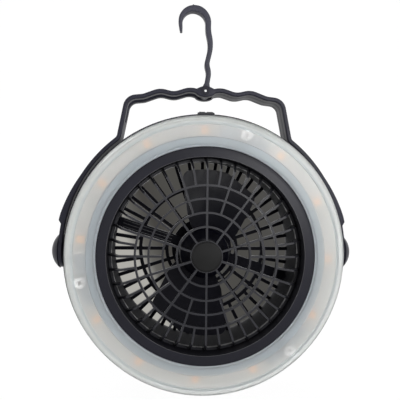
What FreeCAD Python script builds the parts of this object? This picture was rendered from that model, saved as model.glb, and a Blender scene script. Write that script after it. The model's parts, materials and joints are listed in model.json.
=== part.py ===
import FreeCAD, Part
import math
import os
import re

import Sketcher

# Portable camping fan with a ring light, a folding carrying handle and a fold-down hanging hook.
# Origin: where the fan's axis meets the flat rear face. X to the right, Y to the rear, Z up.
# "Depth" in a name is a distance forward of the rear face, so a depth of 10 is at Y = -10.

Vector = FreeCAD.Vector
TO_THE_RIGHT = Vector(1, 0, 0)
TO_THE_REAR = Vector(0, 1, 0)
UP = Vector(0, 0, 1)
SIDES = ((1, "right"), (-1, "left"))

SIZES = [
    # Fan body
    ("body_depth", 62.5, "rear face to the crest of the front bezel"),
    ("housing_radius", 107.5, "housing at its front rim"),
    ("housing_rear_radius", 105.4, "housing just before the rear corner"),
    ("housing_wall", 2.2, "wall of the rear housing"),
    ("housing_corner", 6.0, "rounding of the rear corner"),
    ("rim_width", 4.0, "straight rim at the front of the housing"),
    ("tunnel_radius", 73.9, "air tunnel, inside"),
    ("tunnel_wall", 2.2, "wall of the air tunnel"),
    ("collar_wall", 1.8, "collar of the rear housing round the tunnel"),
    ("collar_depth", 16.0, "how far forward the collar reaches"),
    ("rear_lip", 2.0, "thickness of the lip that holds the rear grille"),
    ("fit_gap", 0.3, "clearance between parts that slip together"),
    ("running_gap", 0.05, "radial clearance of a turning fit"),
    # Bezel
    ("bezel_radius", 81.6, "outside of the front bezel"),
    ("bezel_thickness", 2.4, "face of the front bezel"),
    ("bezel_fall", 1.0, "how much lower the bezel's inner edge is than its crest"),
    ("ledge_depth", 46.0, "front of the ledge that the front grille stands on"),
    ("ledge_width", 2.2, "how far the ledge stands into the tunnel"),
    ("ledge_thickness", 1.6, "thickness of the ledge"),
    # Light ring and what is behind it
    ("light_radius", 106.0, "outside of the light ring"),
    ("light_back", 50.0, "depth of the joint between light ring and housing"),
    ("light_face", 62.2, "depth of the light ring's front face"),
    ("light_wall", 2.0, "wall of the light ring"),
    ("light_corner", 7.0, "rounding of the light ring's outer corner"),
    ("light_lip_radius", 82.2, "inner edge of the light ring's face"),
    ("band_inner_radius", 88.6, "inner edge of the sunk band"),
    ("band_outer_radius", 98.4, "outer edge of the sunk band"),
    ("band_sink", 0.5, "depth of the sunk band"),
    ("lamp_circle", 95.0, "radius on which lamps and light ring screws lie"),
    ("light_post_angle", 72.0, "first screw post of the light ring, above the right side"),
    ("light_post_count", 3, "screw posts of the light ring"),
    ("light_post_radius", 4.1, "screw post of the light ring"),
    ("strip_width", 8.0, "width of a lamp strip"),
    ("strip_thickness", 1.2, "thickness of a lamp strip"),
    ("strip_sweep", 96.0, "angle that one lamp strip covers"),
    ("lamp_step", 27.4, "angle between the lamps of one strip"),
    ("lamps_per_strip", 4, "lamps on one strip"),
    ("lamp_side", 5.0, "side of a lamp"),
    ("lamp_height", 1.2, "height of a lamp"),
    ("tray_thickness", 1.6, "plate that carries the lamp strips"),
    ("link_wire_radius", 0.6, "wire between two lamp strips"),
    ("link_wire_circle", 100.5, "radius on which the link wires lie"),
    # Housing screws
    ("housing_post_circle", 91.0, "radius on which the housing posts stand"),
    ("housing_post_angle", 30.0, "first housing post, above the right side"),
    ("housing_post_count", 3, "housing posts"),
    ("housing_post_radius", 4.0, "housing post"),
    ("housing_post_height", 24.0, "depth at which housing and tray posts meet"),
    ("screw_radius", 1.4, "shank of the small screws"),
    ("screw_head_radius", 2.7, "head of the small screws"),
    ("screw_head_height", 1.8, "head of the small screws"),
    # Grilles
    ("cap_radius", 11.4, "cap at the middle of the front grille"),
    ("cap_thickness", 1.6, "cap at the middle of the front grille"),
    ("grille_face", 64.0, "depth of the front grille's face"),
    ("rib_height", 3.6, "front to back height of the front grille's ribs"),
    ("rib_width", 1.5, "width of the front grille's ribs"),
    ("first_ring", 22.0, "radius of the front grille's first ring"),
    ("second_ring", 32.5, "radius of the front grille's second ring"),
    ("third_ring", 42.9, "radius of the front grille's third ring"),
    ("fourth_ring", 52.8, "radius of the front grille's fourth ring"),
    ("fin_shoulder", 65.7, "radius at which the front grille's fins bend back"),
    ("fin_slope_depth", 50.5, "depth at which the fins reach the tunnel"),
    ("foot_height", 3.0, "foot ring of the front grille"),
    ("foot_width", 2.0, "foot ring of the front grille"),
    ("few_ribs", 10, "ribs from the hub to the second ring"),
    ("more_ribs", 20, "ribs from the second to the fourth ring"),
    ("many_ribs", 40, "fins from the fourth ring outwards"),
    ("rear_rib_width", 2.8, "width of the rear grille's ribs"),
    ("rear_rib_start", 0.8, "depth of the rear side of the rear grille's ribs"),
    ("rear_grille_depth", 4.6, "depth of the front side of the rear grille"),
    ("rear_first_ring", 29.8, "radius of the rear grille's first ring"),
    ("rear_second_ring", 52.2, "radius of the rear grille's second ring"),
    ("hub_plate_radius", 25.5, "plate that carries the motor"),
    ("duct_width", 8.4, "bar across the rear grille that holds the motor's leads"),
    ("duct_height", 5.4, "bar across the rear grille that holds the motor's leads"),
    ("duct_wall", 1.4, "wall of that bar"),
    ("duct_angle", -18.0, "direction of that bar"),
    ("cup_wall", 2.0, "cup that holds the motor"),
    ("cup_height", 9.4, "how far the cup stands forward of the hub plate"),
    # Motor and rotor
    ("motor_radius", 14.0, "motor can"),
    ("motor_length", 24.4, "motor can"),
    ("nose_radius", 4.8, "bearing nose of the motor"),
    ("nose_length", 2.0, "bearing nose of the motor"),
    ("shaft_radius", 1.15, "motor shaft"),
    ("bush_wall", 2.0, "front bush of the motor"),
    ("bush_length", 5.0, "front bush of the motor"),
    ("motor_screw_offset", 8.0, "motor screws from the axis"),
    ("rotor_hub_radius", 19.5, "hub of the rotor"),
    ("rotor_hub_wall", 2.0, "hub of the rotor"),
    ("rotor_back", 17.0, "depth of the hub's rear edge"),
    ("rotor_front", 48.0, "depth of the hub's front"),
    ("rotor_shoulder", 42.0, "depth at which the hub's nose begins"),
    ("blade_radius", 66.0, "tip of the blades"),
    ("blade_thickness", 1.8, "thickness of the blades"),
    ("blade_root_back", 21.0, "depth of the leading edge at the root"),
    ("blade_root_front", 40.5, "depth of the trailing edge at the root"),
    ("blade_tip_back", 26.0, "depth of the leading edge at the tip"),
    ("blade_tip_front", 41.0, "depth of the trailing edge at the tip"),
    ("blade_start_angle", 14.0, "direction of the blade's leading edge at the hub"),
    ("blade_end_angle", 121.0, "direction of the blade's trailing edge at the hub"),
    ("blade_bow", 2.5, "how far the blades bow to the rear between their edges"),
    # Handle and its pivots
    ("pivot_depth", 22.0, "depth of the handle's pivot axis"),
    ("handle_depth", 22.0, "front to back width of the handle"),
    ("handle_thickness", 3.4, "thickness of the handle"),
    ("arm_radius", 113.6, "middle of the handle's arms round the fan's axis"),
    ("arm_sweep", 51.5, "angle that each arm covers"),
    ("handle_edge", 1.1, "rounding of the handle's outer edges"),
    ("handle_inner_edge", 0.7, "rounding of the handle's inner edges"),
    ("ear_radius", 13.4, "round ends of the handle"),
    ("pivot_cap_radius", 14.0, "domed cap over each pivot"),
    ("pivot_cap_height", 6.5, "domed cap over each pivot"),
    ("pivot_cap_hollow", 6.0, "radius of the hollow in the domed cap"),
    ("pivot_boss_radius", 11.0, "boss on the housing for each pivot"),
    ("pivot_screw_radius", 1.9, "screw of each pivot"),
    ("pivot_head_radius", 4.2, "head of the pivot screw"),
    ("pivot_head_height", 2.4, "head of the pivot screw"),
    ("pivot_screw_length", 14.0, "screw of each pivot from its head to its end"),
    ("pivot_bush_wall", 1.3, "sleeve round each pivot screw"),
    ("washer_radius", 8.0, "friction washer of each pivot"),
    ("washer_thickness", 0.9, "friction washer of each pivot"),
    # Hook
    ("hook_pin_height", 129.0, "hook pin above the fan's axis"),
    ("hook_width", 8.0, "front to back width of the hook"),
    ("hook_thickness", 4.2, "thickness of the hook"),
    ("hook_edge", 0.9, "rounding of the hook's edges"),
    ("hook_eye_radius", 4.3, "eye of the hook round its pin"),
    ("hook_crown_radius", 11.9, "middle of the hook's bend"),
    ("hook_crown_height", 186.0, "centre of the hook's bend above the fan's axis"),
    ("hook_crown_shift", 9.6, "centre of the hook's bend left of the pin"),
    ("hook_tip_drop", 8.6, "how far the hook's tip hangs below the bend's centre"),
    ("slot_end_height", 104.6, "lower end of the hook's slot in the left arm"),
    ("pin_radius", 2.3, "hollow pin of the hook"),
    ("pin_bore", 1.1, "see-through bore of the hollow pin"),
    ("pin_flange_radius", 3.2, "flanges of the hollow pin"),
    ("pin_flange", 0.6, "flanges of the hollow pin"),
    # Keys, board and power
    ("keys_depth", 37.0, "depth of the middle of the keys"),
    ("key_width", 5.0, "width of a key"),
    ("key_length", 7.0, "front to back length of a key"),
    ("key_spacing", 6.0, "distance between the two keys"),
    ("key_top", 111.0, "top of the keys above the fan's axis"),
    ("key_stem", 1.4, "radius of a key's stem"),
    ("key_travel", 0.8, "how far a key goes down"),
    ("key_gap", 0.15, "clearance round a key"),
    ("key_frame_top", 110.2, "top of the frame round the keys"),
    ("key_frame_base", 15.6, "width of that frame at its foot"),
    ("key_frame_crest", 12.9, "width of that frame at its top"),
    ("key_frame_length", 9.4, "front to back length of that frame"),
    ("board_height", 97.1, "underside of the control board above the fan's axis"),
    ("board_thickness", 1.6, "control board"),
    ("board_width", 44.0, "control board"),
    ("board_back", 3.0, "depth of the control board's rear edge"),
    ("board_front", 43.0, "depth of the control board's front edge"),
    ("switch_side", 5.6, "push switches"),
    ("switch_height", 2.4, "push switches"),
    ("plunger_radius", 1.2, "plunger of a push switch"),
    ("plunger_height", 0.7, "plunger of a push switch"),
    ("charge_port_x", 12.0, "charge port right of the fan's axis"),
    ("charge_port_width", 9.0, "charge port"),
    ("charge_port_height", 3.2, "charge port"),
    ("charge_port_length", 7.4, "charge port"),
    ("charge_port_wall", 0.4, "charge port"),
    ("cell_radius", 9.2, "battery cell"),
    ("cell_length", 65.0, "battery cell"),
    ("cell_circle", 88.0, "distance of a cell's middle from the fan's axis"),
    ("cell_depth", 14.0, "depth of the cells' axes"),
    ("cell_angle", 42.0, "cells' middles below the sides"),
    ("saddle_width", 14.0, "saddle under each cell"),
    ("saddle_wall", 2.0, "end walls of the saddle"),
    ("contact_thickness", 0.5, "contact plates at the cells' ends"),
]

DOC = FreeCAD.newDocument("CampingFan")
SHEET = DOC.addObject("Spreadsheet::Sheet", "Sizes")
SIZE_NAMES = [name for name, amount, note in SIZES]
PARTS = []


def fill_sheet():
    for row, (name, amount, note) in enumerate(SIZES, start=1):
        SHEET.set("A%d" % row, name.replace("_", " "))
        SHEET.set("B%d" % row, str(amount))
        SHEET.set("C%d" % row, note)
        SHEET.setAlias("B%d" % row, name)
    DOC.recompute()


def tie(text):
    """A formula in size names, as a FreeCAD expression that reads the sheet."""
    return re.sub(r"[a-z]+(_[a-z]+)+", lambda found: linked(found.group(0)), str(text))


def linked(word):
    return "Sizes." + word if word in SIZE_NAMES else word


def size(text):
    """The number that a formula in size names gives now."""
    return float(SHEET.evalExpression(tie(text)))


def bind(piece, prop, text):
    piece.setExpression(prop, tie(text))


# Sizes that several parts share, worked out once from the driving ones.
TUNNEL_OUTER = "(tunnel_radius + tunnel_wall)"
COLLAR_INNER = "(tunnel_radius + tunnel_wall + fit_gap)"
COLLAR_OUTER = "(tunnel_radius + tunnel_wall + fit_gap + collar_wall)"
EAR_INNER = "(arm_radius - handle_thickness / 2)"
EAR_OUTER = "(arm_radius + handle_thickness / 2)"
DOME_RADIUS = "((pivot_cap_radius ^ 2 + pivot_cap_height ^ 2) / (2 * pivot_cap_height))"
BOSS_FACE = "(arm_radius - handle_thickness / 2 - washer_thickness - 2 * running_gap)"
PIVOT_BUSH_RADIUS = "(pivot_screw_radius + running_gap + pivot_bush_wall)"
TRAY_BACK = "(light_back - tray_thickness)"
SHAFT_BORE = "(shaft_radius + running_gap)"
BUSH_RADIUS = "(shaft_radius + running_gap + bush_wall)"
MOTOR_FRONT = "(rear_grille_depth + motor_length)"
CUP_OUTER = "(motor_radius + fit_gap + cup_wall)"
BOARD_TOP = "(board_height + board_thickness)"
SWITCH_TOP = "(board_height + board_thickness + switch_height + plunger_height)"


def keep(piece, label):
    """Name a finished sub-part, which is then written to its own file."""
    piece.Label = label
    PARTS.append(piece)
    return piece


def origin_feature(body, role):
    return [feature for feature in body.Origin.OriginFeatures if feature.Role == role][0]


def new_body(label, many=False):
    body = DOC.addObject("PartDesign::Body", label)
    body.AllowCompound = many
    return keep(body, label)


def new_sketch(body, name, plane, offset=None):
    sketch = body.newObject("Sketcher::SketchObject", name)
    sketch.AttachmentSupport = [(origin_feature(body, plane), "")]
    sketch.MapMode = "FlatFace"
    if offset is not None:
        bind(sketch, "AttachmentOffset.Base.z", offset)
    return sketch


def pin_point(sketch, line, across, up):
    """Hold the start of a line, or a circle's centre, at two formulas."""
    position = 3 if isinstance(sketch.Geometry[line], Part.Circle) else 1
    for kind, formula in (("DistanceX", across), ("DistanceY", up)):
        index = sketch.addConstraint(Sketcher.Constraint(kind, -1, 1, line, position, 1.0))
        bind(sketch, "Constraints[%d]" % index, formula)


def draw_outline(sketch, corners):
    """A closed outline through corners given as pairs of formulas."""
    count = len(corners)
    turn = 2 * math.pi / count
    rough = [Vector(math.cos(turn * step), math.sin(turn * step), 0) for step in range(count)]
    for step in range(count):
        sketch.addGeometry(Part.LineSegment(rough[step], rough[(step + 1) % count]), False)
    for step in range(count):
        sketch.addConstraint(Sketcher.Constraint("Coincident", step, 2, (step + 1) % count, 1))
    for step, (across, up) in enumerate(corners):
        pin_point(sketch, step, across, up)


def draw_circle(sketch, across, up, radius):
    circle = len(sketch.Geometry)
    sketch.addGeometry(Part.Circle(Vector(1, 1, 0), UP, 1), False)
    pin_point(sketch, circle, across, up)
    index = sketch.addConstraint(Sketcher.Constraint("Radius", circle, 1.0))
    bind(sketch, "Constraints[%d]" % index, radius)


def turned(body, name, profile):
    """Turn a profile of (radius, depth) corners about the fan's axis."""
    sketch = new_sketch(body, name + "_profile", "XY_Plane")
    draw_outline(sketch, [(radius, "-(%s)" % depth) for radius, depth in profile])
    turn = body.newObject("PartDesign::Revolution", name)
    turn.Profile = sketch
    turn.ReferenceAxis = (sketch, ["V_Axis"])
    turn.Angle = 360
    DOC.recompute()
    return turn


def rib(body, name, profile, width):
    """A rib that stands straight up from the axis; its profile is (radius, depth) corners."""
    sketch = new_sketch(body, name + "_profile", "YZ_Plane")
    draw_outline(sketch, [("-(%s)" % depth, radius) for radius, depth in profile])
    pad = body.newObject("PartDesign::Pad", name)
    pad.Profile = sketch
    pad.SideType = "Symmetric"
    bind(pad, "Length", width)
    DOC.recompute()
    return pad


def post(body, name, across, up, radius, start, end, kind="PartDesign::Pad"):
    """A round post, or with Pocket a round hole, along the fan's axis between two depths."""
    sketch = new_sketch(body, name + "_circle", "XZ_Plane", start)
    draw_circle(sketch, across, up, radius)
    return along_axis(body, name, sketch, start, end, kind)


def block(body, name, corners, start, end, kind="PartDesign::Pad"):
    """A block, or with Pocket a hole, of (x, z) corners between two depths."""
    sketch = new_sketch(body, name + "_outline", "XZ_Plane", start)
    draw_outline(sketch, corners)
    return along_axis(body, name, sketch, start, end, kind)


def along_axis(body, name, sketch, start, end, kind):
    feature = body.newObject(kind, name)
    feature.Profile = sketch
    feature.Reversed = kind == "PartDesign::Pocket"
    bind(feature, "Length", "(%s) - (%s)" % (end, start))
    DOC.recompute()
    if kind == "PartDesign::Pocket":
        must_remove(feature)
    return feature


def must_remove(feature):
    """Stop if a cut took nothing away, which would mean that it went the wrong way."""
    if feature.Shape.Volume > feature.BaseFeature.Shape.Volume - 0.01:
        raise ValueError("%s removes nothing" % feature.Label)


def rectangle(left, right, low, high):
    return [(left, low), (right, low), (right, high), (left, high)]


def around(body, name, features, count):
    """Repeat features evenly about the fan's axis."""
    pattern = body.newObject("PartDesign::PolarPattern", name)
    pattern.Originals = features
    pattern.Axis = (origin_feature(body, "Y_Axis"), [""])
    pattern.Angle = 360
    bind(pattern, "Occurrences", count)
    body.Tip = pattern
    DOC.recompute()
    return pattern


def rounded(body, name, feature, radius, circles):
    """Round the circular edges that lie at these (radius, depth) places."""
    wanted = [(size(ring), -size(depth)) for ring, depth in circles]
    names = []
    for number, edge in enumerate(feature.Shape.Edges, start=1):
        curve = edge.Curve
        if not isinstance(curve, Part.Circle) or abs(abs(curve.Axis.y) - 1) > 1e-6:
            continue
        for ring, level in wanted:
            if abs(curve.Radius - ring) < 1e-4 and abs(curve.Center.y - level) < 1e-4:
                names.append("Edge%d" % number)
    fillet = body.newObject("PartDesign::Fillet", name)
    fillet.Base = (feature, names)
    bind(fillet, "Radius", radius)
    DOC.recompute()
    return fillet


def primitive(kind, name, **formulas):
    piece = DOC.addObject(kind, name)
    for prop, formula in formulas.items():
        bind(piece, prop, formula)
    return piece


def put(piece, across, depth, up, rotation=None):
    """Place a primitive by formulas; depth is measured forward of the rear face."""
    if rotation is not None:
        piece.Placement = FreeCAD.Placement(Vector(0, 0, 0), rotation)
    bind(piece, "Placement.Base.x", across)
    bind(piece, "Placement.Base.y", "-(%s)" % depth)
    bind(piece, "Placement.Base.z", up)
    return piece


def combine(kind, name, base, tools):
    """Fuse or cut whole shapes, one after another."""
    for number, tool in enumerate(tools, start=1):
        result = DOC.addObject(kind, "%s_%d" % (name, number))
        result.Base = base
        result.Tool = tool
        base = result
    DOC.recompute()
    return base


def fused(name, pieces):
    return combine("Part::Fuse", name, pieces[0], pieces[1:])


def group(label, pieces):
    """Several equal solids that share one node."""
    compound = DOC.addObject("Part::Compound", label)
    compound.Links = pieces
    return keep(compound, label)


def on_circle(circle, angle):
    """Formulas for the x and z of a place on a circle round the fan's axis."""
    return "%s * cos(%s)" % (circle, angle), "%s * sin(%s)" % (circle, angle)


# Fan body: shells

def build_rear_housing():
    body = new_body("rear_housing")
    inner_rear = "(housing_rear_radius - housing_wall)"
    inner_rim = "(housing_radius - housing_wall)"
    shell = turned(body, "housing_shell", [
        ("tunnel_radius", "0"),
        ("housing_rear_radius", "0"),
        ("housing_radius", "light_back - rim_width"),
        ("housing_radius", "light_back"),
        (inner_rim, "light_back"),
        (inner_rim, "light_back - rim_width"),
        (inner_rear, "housing_wall"),
        (COLLAR_OUTER, "housing_wall"),
        (COLLAR_OUTER, "collar_depth"),
        (COLLAR_INNER, "collar_depth"),
        (COLLAR_INNER, "rear_lip"),
        ("tunnel_radius", "rear_lip"),
    ])
    rounded(body, "rear_corner", shell, "housing_corner", [("housing_rear_radius", "0")])
    for side, name in SIDES:
        sketch = new_sketch(body, name + "_pivot_circle", "YZ_Plane",
                            "%d * (housing_rear_radius - housing_wall)" % side)
        draw_circle(sketch, "-pivot_depth", "0", "pivot_boss_radius")
        pad = body.newObject("PartDesign::Pad", name + "_pivot_boss")
        pad.Profile = sketch
        pad.Reversed = side < 0
        bind(pad, "Length", "%s - (housing_rear_radius - housing_wall)" % BOSS_FACE)
        DOC.recompute()
    for side, name in SIDES:
        sketch = new_sketch(body, name + "_pivot_hole_circle", "YZ_Plane",
                            "%d * %s" % (side, BOSS_FACE))
        draw_circle(sketch, "-pivot_depth", "0", "pivot_screw_radius + running_gap")
        hole = body.newObject("PartDesign::Pocket", name + "_pivot_hole")
        hole.Profile = sketch
        hole.Reversed = side < 0
        bind(hole, "Length", "pivot_screw_length")
        DOC.recompute()
    across, up = on_circle("housing_post_circle", "housing_post_angle")
    stand = post(body, "housing_post", across, up, "housing_post_radius",
                 "housing_wall / 2", "housing_post_height")
    around(body, "housing_posts", [stand], "housing_post_count")
    sink = post(body, "screw_sink", across, up, "screw_head_radius + fit_gap",
                "0", "screw_head_height + rear_lip", "PartDesign::Pocket")
    around(body, "screw_sinks", [sink], "housing_post_count")
    passage = post(body, "screw_passage", across, up, "screw_radius + running_gap",
                   "0", "housing_post_height + fit_gap", "PartDesign::Pocket")
    around(body, "screw_passages", [passage], "housing_post_count")
    for side, name in SIDES:
        edges = ["%d * (board_width / 2 %s 1.5)" % (side, sign) for sign in ("-+" if side > 0 else "+-")]
        block(body, name + "_board_rail", rectangle(
            edges[0], edges[1], "board_height - 1.8", BOARD_TOP + " + 1.1"),
            "housing_wall - 0.2", "board_front / 2")
    block(body, "board_groove", rectangle(
        "-board_width / 2 - running_gap", "board_width / 2 + running_gap",
        "board_height - running_gap", BOARD_TOP + " + running_gap"),
        "board_back", "board_front", "PartDesign::Pocket")
    block(body, "charge_slot", rectangle(
        "charge_port_x - charge_port_width / 2 - fit_gap", "charge_port_x + charge_port_width / 2 + fit_gap",
        "board_height - charge_port_height - fit_gap", "board_height + fit_gap"),
        "0", "housing_wall + fit_gap", "PartDesign::Pocket")
    block(body, "key_window", rectangle(
        "-(key_spacing + key_width) / 2 - key_gap", "(key_spacing + key_width) / 2 + key_gap",
        "housing_rear_radius - 2 * housing_wall", "housing_radius + housing_wall"),
        "keys_depth - key_length / 2 - key_gap", "keys_depth + key_length / 2 + key_gap",
        "PartDesign::Pocket")


def build_rear_grille():
    frame = inner_body("rear_grille_frame", many=True)
    half = "rear_rib_width / 2"
    turned(frame, "rim", [
        ("tunnel_radius", "rear_lip"), (TUNNEL_OUTER, "rear_lip"),
        (TUNNEL_OUTER, "rear_grille_depth"), ("tunnel_radius", "rear_grille_depth")])
    for name, ring in (("first_rear_ring", "rear_first_ring"), ("second_rear_ring", "rear_second_ring")):
        turned(frame, name, [
            ("%s - %s" % (ring, half), "rear_rib_start"), ("%s + %s" % (ring, half), "rear_rib_start"),
            ("%s + %s" % (ring, half), "rear_grille_depth"), ("%s - %s" % (ring, half), "rear_grille_depth")])
    turned(frame, "hub_plate", [
        ("0", "0"), ("hub_plate_radius - 1", "0"), ("hub_plate_radius", "1"),
        ("hub_plate_radius", "rear_grille_depth"), (CUP_OUTER, "rear_grille_depth"),
        (CUP_OUTER, "rear_grille_depth + cup_height"), ("0", "rear_grille_depth + cup_height")])
    build_lead_duct(frame)
    post(frame, "motor_seat", "0", "0", "motor_radius + fit_gap", "rear_grille_depth",
         "rear_grille_depth + cup_height + duct_height", "PartDesign::Pocket")
    for side, name in SIDES:
        post(frame, name + "_motor_screw_sink", "%d * motor_screw_offset" % side, "0",
             "screw_head_radius + fit_gap", "0", "screw_head_height + fit_gap", "PartDesign::Pocket")
        post(frame, name + "_motor_screw_hole", "%d * motor_screw_offset" % side, "0",
             "screw_radius + running_gap", "0", "rear_grille_depth + fit_gap", "PartDesign::Pocket")
    ribs = inner_body("rear_grille_ribs", many=True)
    for name, inner, count in (("hub_rib", "hub_plate_radius - 1", "few_ribs"),
                               ("middle_rear_rib", "rear_first_ring", "more_ribs"),
                               ("outer_rear_rib", "rear_second_ring", "many_ribs")):
        bar = rib(ribs, name, [
            (inner, "rear_rib_start"), ("tunnel_radius - fit_gap", "rear_rib_start"),
            ("tunnel_radius - fit_gap", "rear_lip + running_gap"),
            ("tunnel_radius + tunnel_wall / 2", "rear_lip + running_gap"),
            ("tunnel_radius + tunnel_wall / 2", "rear_grille_depth"), (inner, "rear_grille_depth")],
            "rear_rib_width")
        around(ribs, name + "s", [bar], count)
    join_grille("rear_grille", [frame, ribs])


def inner_body(name, many=False):
    """A body that a later join takes in, so it isn't written to a file of its own."""
    body = DOC.addObject("PartDesign::Body", name)
    body.AllowCompound = many
    return body


def join_grille(label, pieces):
    """One solid of a grille's rings and ribs."""
    whole = DOC.addObject("Part::MultiFuse", label)
    whole.Shapes = pieces
    whole.Refine = True
    DOC.recompute()
    keep(whole, label)


def build_lead_duct(body):
    """The bar across the grille, with a channel along it for the motor's leads."""
    top = "rear_grille_depth + duct_height"
    for name, kind, low, high, width, length in (
            ("duct_bar", "PartDesign::Pad", "rear_rib_start", top, "duct_width", "tunnel_radius - fit_gap"),
            ("duct_channel", "PartDesign::Pocket", "rear_grille_depth", top + " - duct_wall",
             "duct_width - 2 * duct_wall", "tunnel_radius - 3 * duct_wall")):
        sketch = new_sketch(body, name + "_section", "YZ_Plane")
        turn = FreeCAD.Rotation(TO_THE_RIGHT, -size("duct_angle"))
        sketch.AttachmentOffset = FreeCAD.Placement(Vector(0, 0, 0), turn)
        half = "(%s) / 2" % width
        draw_outline(sketch, rectangle("-(%s)" % high, "-(%s)" % low, "-" + half, half))
        bar = body.newObject(kind, name)
        bar.Profile = sketch
        bar.SideType = "Symmetric"
        bind(bar, "Length", "2 * (%s)" % length)
        DOC.recompute()


def build_front_bezel():
    body = new_body("front_bezel")
    crest = "(tunnel_radius + bezel_radius) / 2"
    ring = turned(body, "bezel_ring", [
        ("tunnel_radius", "body_depth - bezel_fall"), (crest, "body_depth"),
        ("bezel_radius", "body_depth - bezel_fall / 2"), ("bezel_radius", "body_depth - bezel_thickness"),
        (TUNNEL_OUTER, "body_depth - bezel_thickness"), (TUNNEL_OUTER, "rear_grille_depth"),
        ("tunnel_radius", "rear_grille_depth"), ("tunnel_radius", "ledge_depth - ledge_thickness"),
        ("tunnel_radius - ledge_width", "ledge_depth - ledge_thickness"),
        ("tunnel_radius - ledge_width", "ledge_depth"), ("tunnel_radius", "ledge_depth")])
    edges = rounded(body, "bezel_outer_edge", ring, "bezel_fall * 0.8",
                    [("bezel_radius", "body_depth - bezel_fall / 2")])
    rounded(body, "bezel_crest", edges, "bezel_radius - tunnel_radius", [(crest, "body_depth")])


# Fan body: front grille

def build_front_grille():
    frame = inner_body("front_grille_rings", many=True)
    back = "(grille_face - rib_height)"
    foot_outer = "(tunnel_radius - fit_gap)"
    foot_inner = "(tunnel_radius - fit_gap - foot_width)"
    for ring in ("first_ring", "second_ring", "third_ring", "fourth_ring"):
        turned(frame, ring, [
            (ring + " - rib_width / 2", "grille_face"), (ring + " + rib_width / 2", "grille_face"),
            (ring + " + rib_width / 2", back), (ring + " - rib_width / 2", back)])
    turned(frame, "foot_ring", [
        (foot_inner, "ledge_depth"), (foot_outer, "ledge_depth"),
        (foot_outer, "ledge_depth + foot_height"), (foot_inner, "ledge_depth + foot_height")])
    turned(frame, "hub", [
        ("0", back), ("cap_radius + 0.6", back), ("cap_radius + 0.6", "grille_face"),
        ("cap_radius + running_gap", "grille_face"),
        ("cap_radius + running_gap", "grille_face - cap_thickness / 2"),
        ("0", "grille_face - cap_thickness / 2")])
    ribs = inner_body("front_grille_ribs", many=True)
    fin = rib(ribs, "fin", [
        ("fourth_ring", "grille_face"), ("fin_shoulder", "grille_face"),
        (foot_outer, "fin_slope_depth"), (foot_outer, "ledge_depth"), (foot_inner, "ledge_depth"),
        ("%s - rib_height" % foot_outer, "fin_slope_depth"),
        ("fin_shoulder - rib_height / 2", back), ("fourth_ring", back)], "rib_width")
    around(ribs, "fins", [fin], "many_ribs")
    for name, start, end, count in (("middle_rib", "second_ring", "fourth_ring", "more_ribs"),
                                    ("inner_rib", "cap_radius + 0.3", "second_ring", "few_ribs")):
        bar = rib(ribs, name, [(start, "grille_face"), (end, "grille_face"), (end, back), (start, back)],
                  "rib_width")
        around(ribs, name + "s", [bar], count)
    join_grille("front_grille", [frame, ribs])


def build_grille_cap():
    body = new_body("grille_cap")
    low = "grille_face - cap_thickness / 2"
    disc = turned(body, "cap_disc", [
        ("0", low), ("cap_radius", low), ("cap_radius", "grille_face + 0.1"),
        ("cap_radius - 1.2", "grille_face + cap_thickness / 2"), ("0", "grille_face + cap_thickness / 2")])
    rounded(body, "cap_edge", disc, "0.9", [("cap_radius - 1.2", "grille_face + cap_thickness / 2")])


# Fan body: light ring

def build_light_ring():
    body = new_body("light_ring")
    inner = "(light_radius - light_wall)"
    under = "(light_face - light_wall)"
    lip_top = "(body_depth - bezel_thickness - running_gap)"
    shell = turned(body, "light_shell", [
        (TUNNEL_OUTER + " + 3 * fit_gap", "%s - light_wall" % lip_top),
        (TUNNEL_OUTER + " + 3 * fit_gap", lip_top), ("light_lip_radius", lip_top),
        ("light_lip_radius", "light_face - band_sink"), ("light_lip_radius + 1", "light_face"),
        ("band_inner_radius", "light_face"), ("band_inner_radius + band_sink", "light_face - band_sink"),
        ("band_outer_radius - band_sink", "light_face - band_sink"), ("band_outer_radius", "light_face"),
        ("light_radius", "light_face"), ("light_radius", "light_back"), (inner, "light_back"),
        (inner, under), ("light_lip_radius + light_wall", under),
        ("light_lip_radius + light_wall", "%s - light_wall" % lip_top)])
    corner = rounded(body, "outer_corner", shell, "light_corner", [("light_radius", "light_face")])
    rounded(body, "inner_corner", corner, "light_corner - light_wall", [(inner, under)])
    across, up = on_circle("lamp_circle", "light_post_angle")
    stand = post(body, "light_post", across, up, "light_post_radius", "light_back",
                 "light_face - light_wall / 2")
    around(body, "light_posts", [stand], "light_post_count")
    hole = post(body, "light_post_hole", across, up, "screw_radius + running_gap", "light_back",
                "light_face - 2 * light_wall", "PartDesign::Pocket")
    around(body, "light_post_holes", [hole], "light_post_count")


def build_light_tray():
    body = new_body("light_tray")
    outer = "(housing_radius - housing_wall - fit_gap)"
    turned(body, "tray_plate", [
        (TUNNEL_OUTER + " + fit_gap", TRAY_BACK), (outer, TRAY_BACK), (outer, "light_back"),
        (TUNNEL_OUTER + " + fit_gap", "light_back")])
    across, up = on_circle("housing_post_circle", "housing_post_angle")
    leg = post(body, "tray_post", across, up, "housing_post_radius", "housing_post_height",
               "light_back - tray_thickness / 2")
    around(body, "tray_posts", [leg], "housing_post_count")
    socket = post(body, "tray_post_hole", across, up, "screw_radius + running_gap",
                  "housing_post_height", "housing_post_height + 12", "PartDesign::Pocket")
    around(body, "tray_post_holes", [socket], "housing_post_count")
    across, up = on_circle("lamp_circle", "light_post_angle")
    hole = post(body, "light_screw_hole", across, up, "screw_radius + running_gap",
                TRAY_BACK, "light_back", "PartDesign::Pocket")
    around(body, "light_screw_holes", [hole], "light_post_count")


def strip_middles():
    """The lamp strips lie half way between the light ring's screw posts."""
    return ["light_post_angle + (%s) * 360 / light_post_count" % (step + 0.5)
            for step in range(int(size("light_post_count")))]


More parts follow.
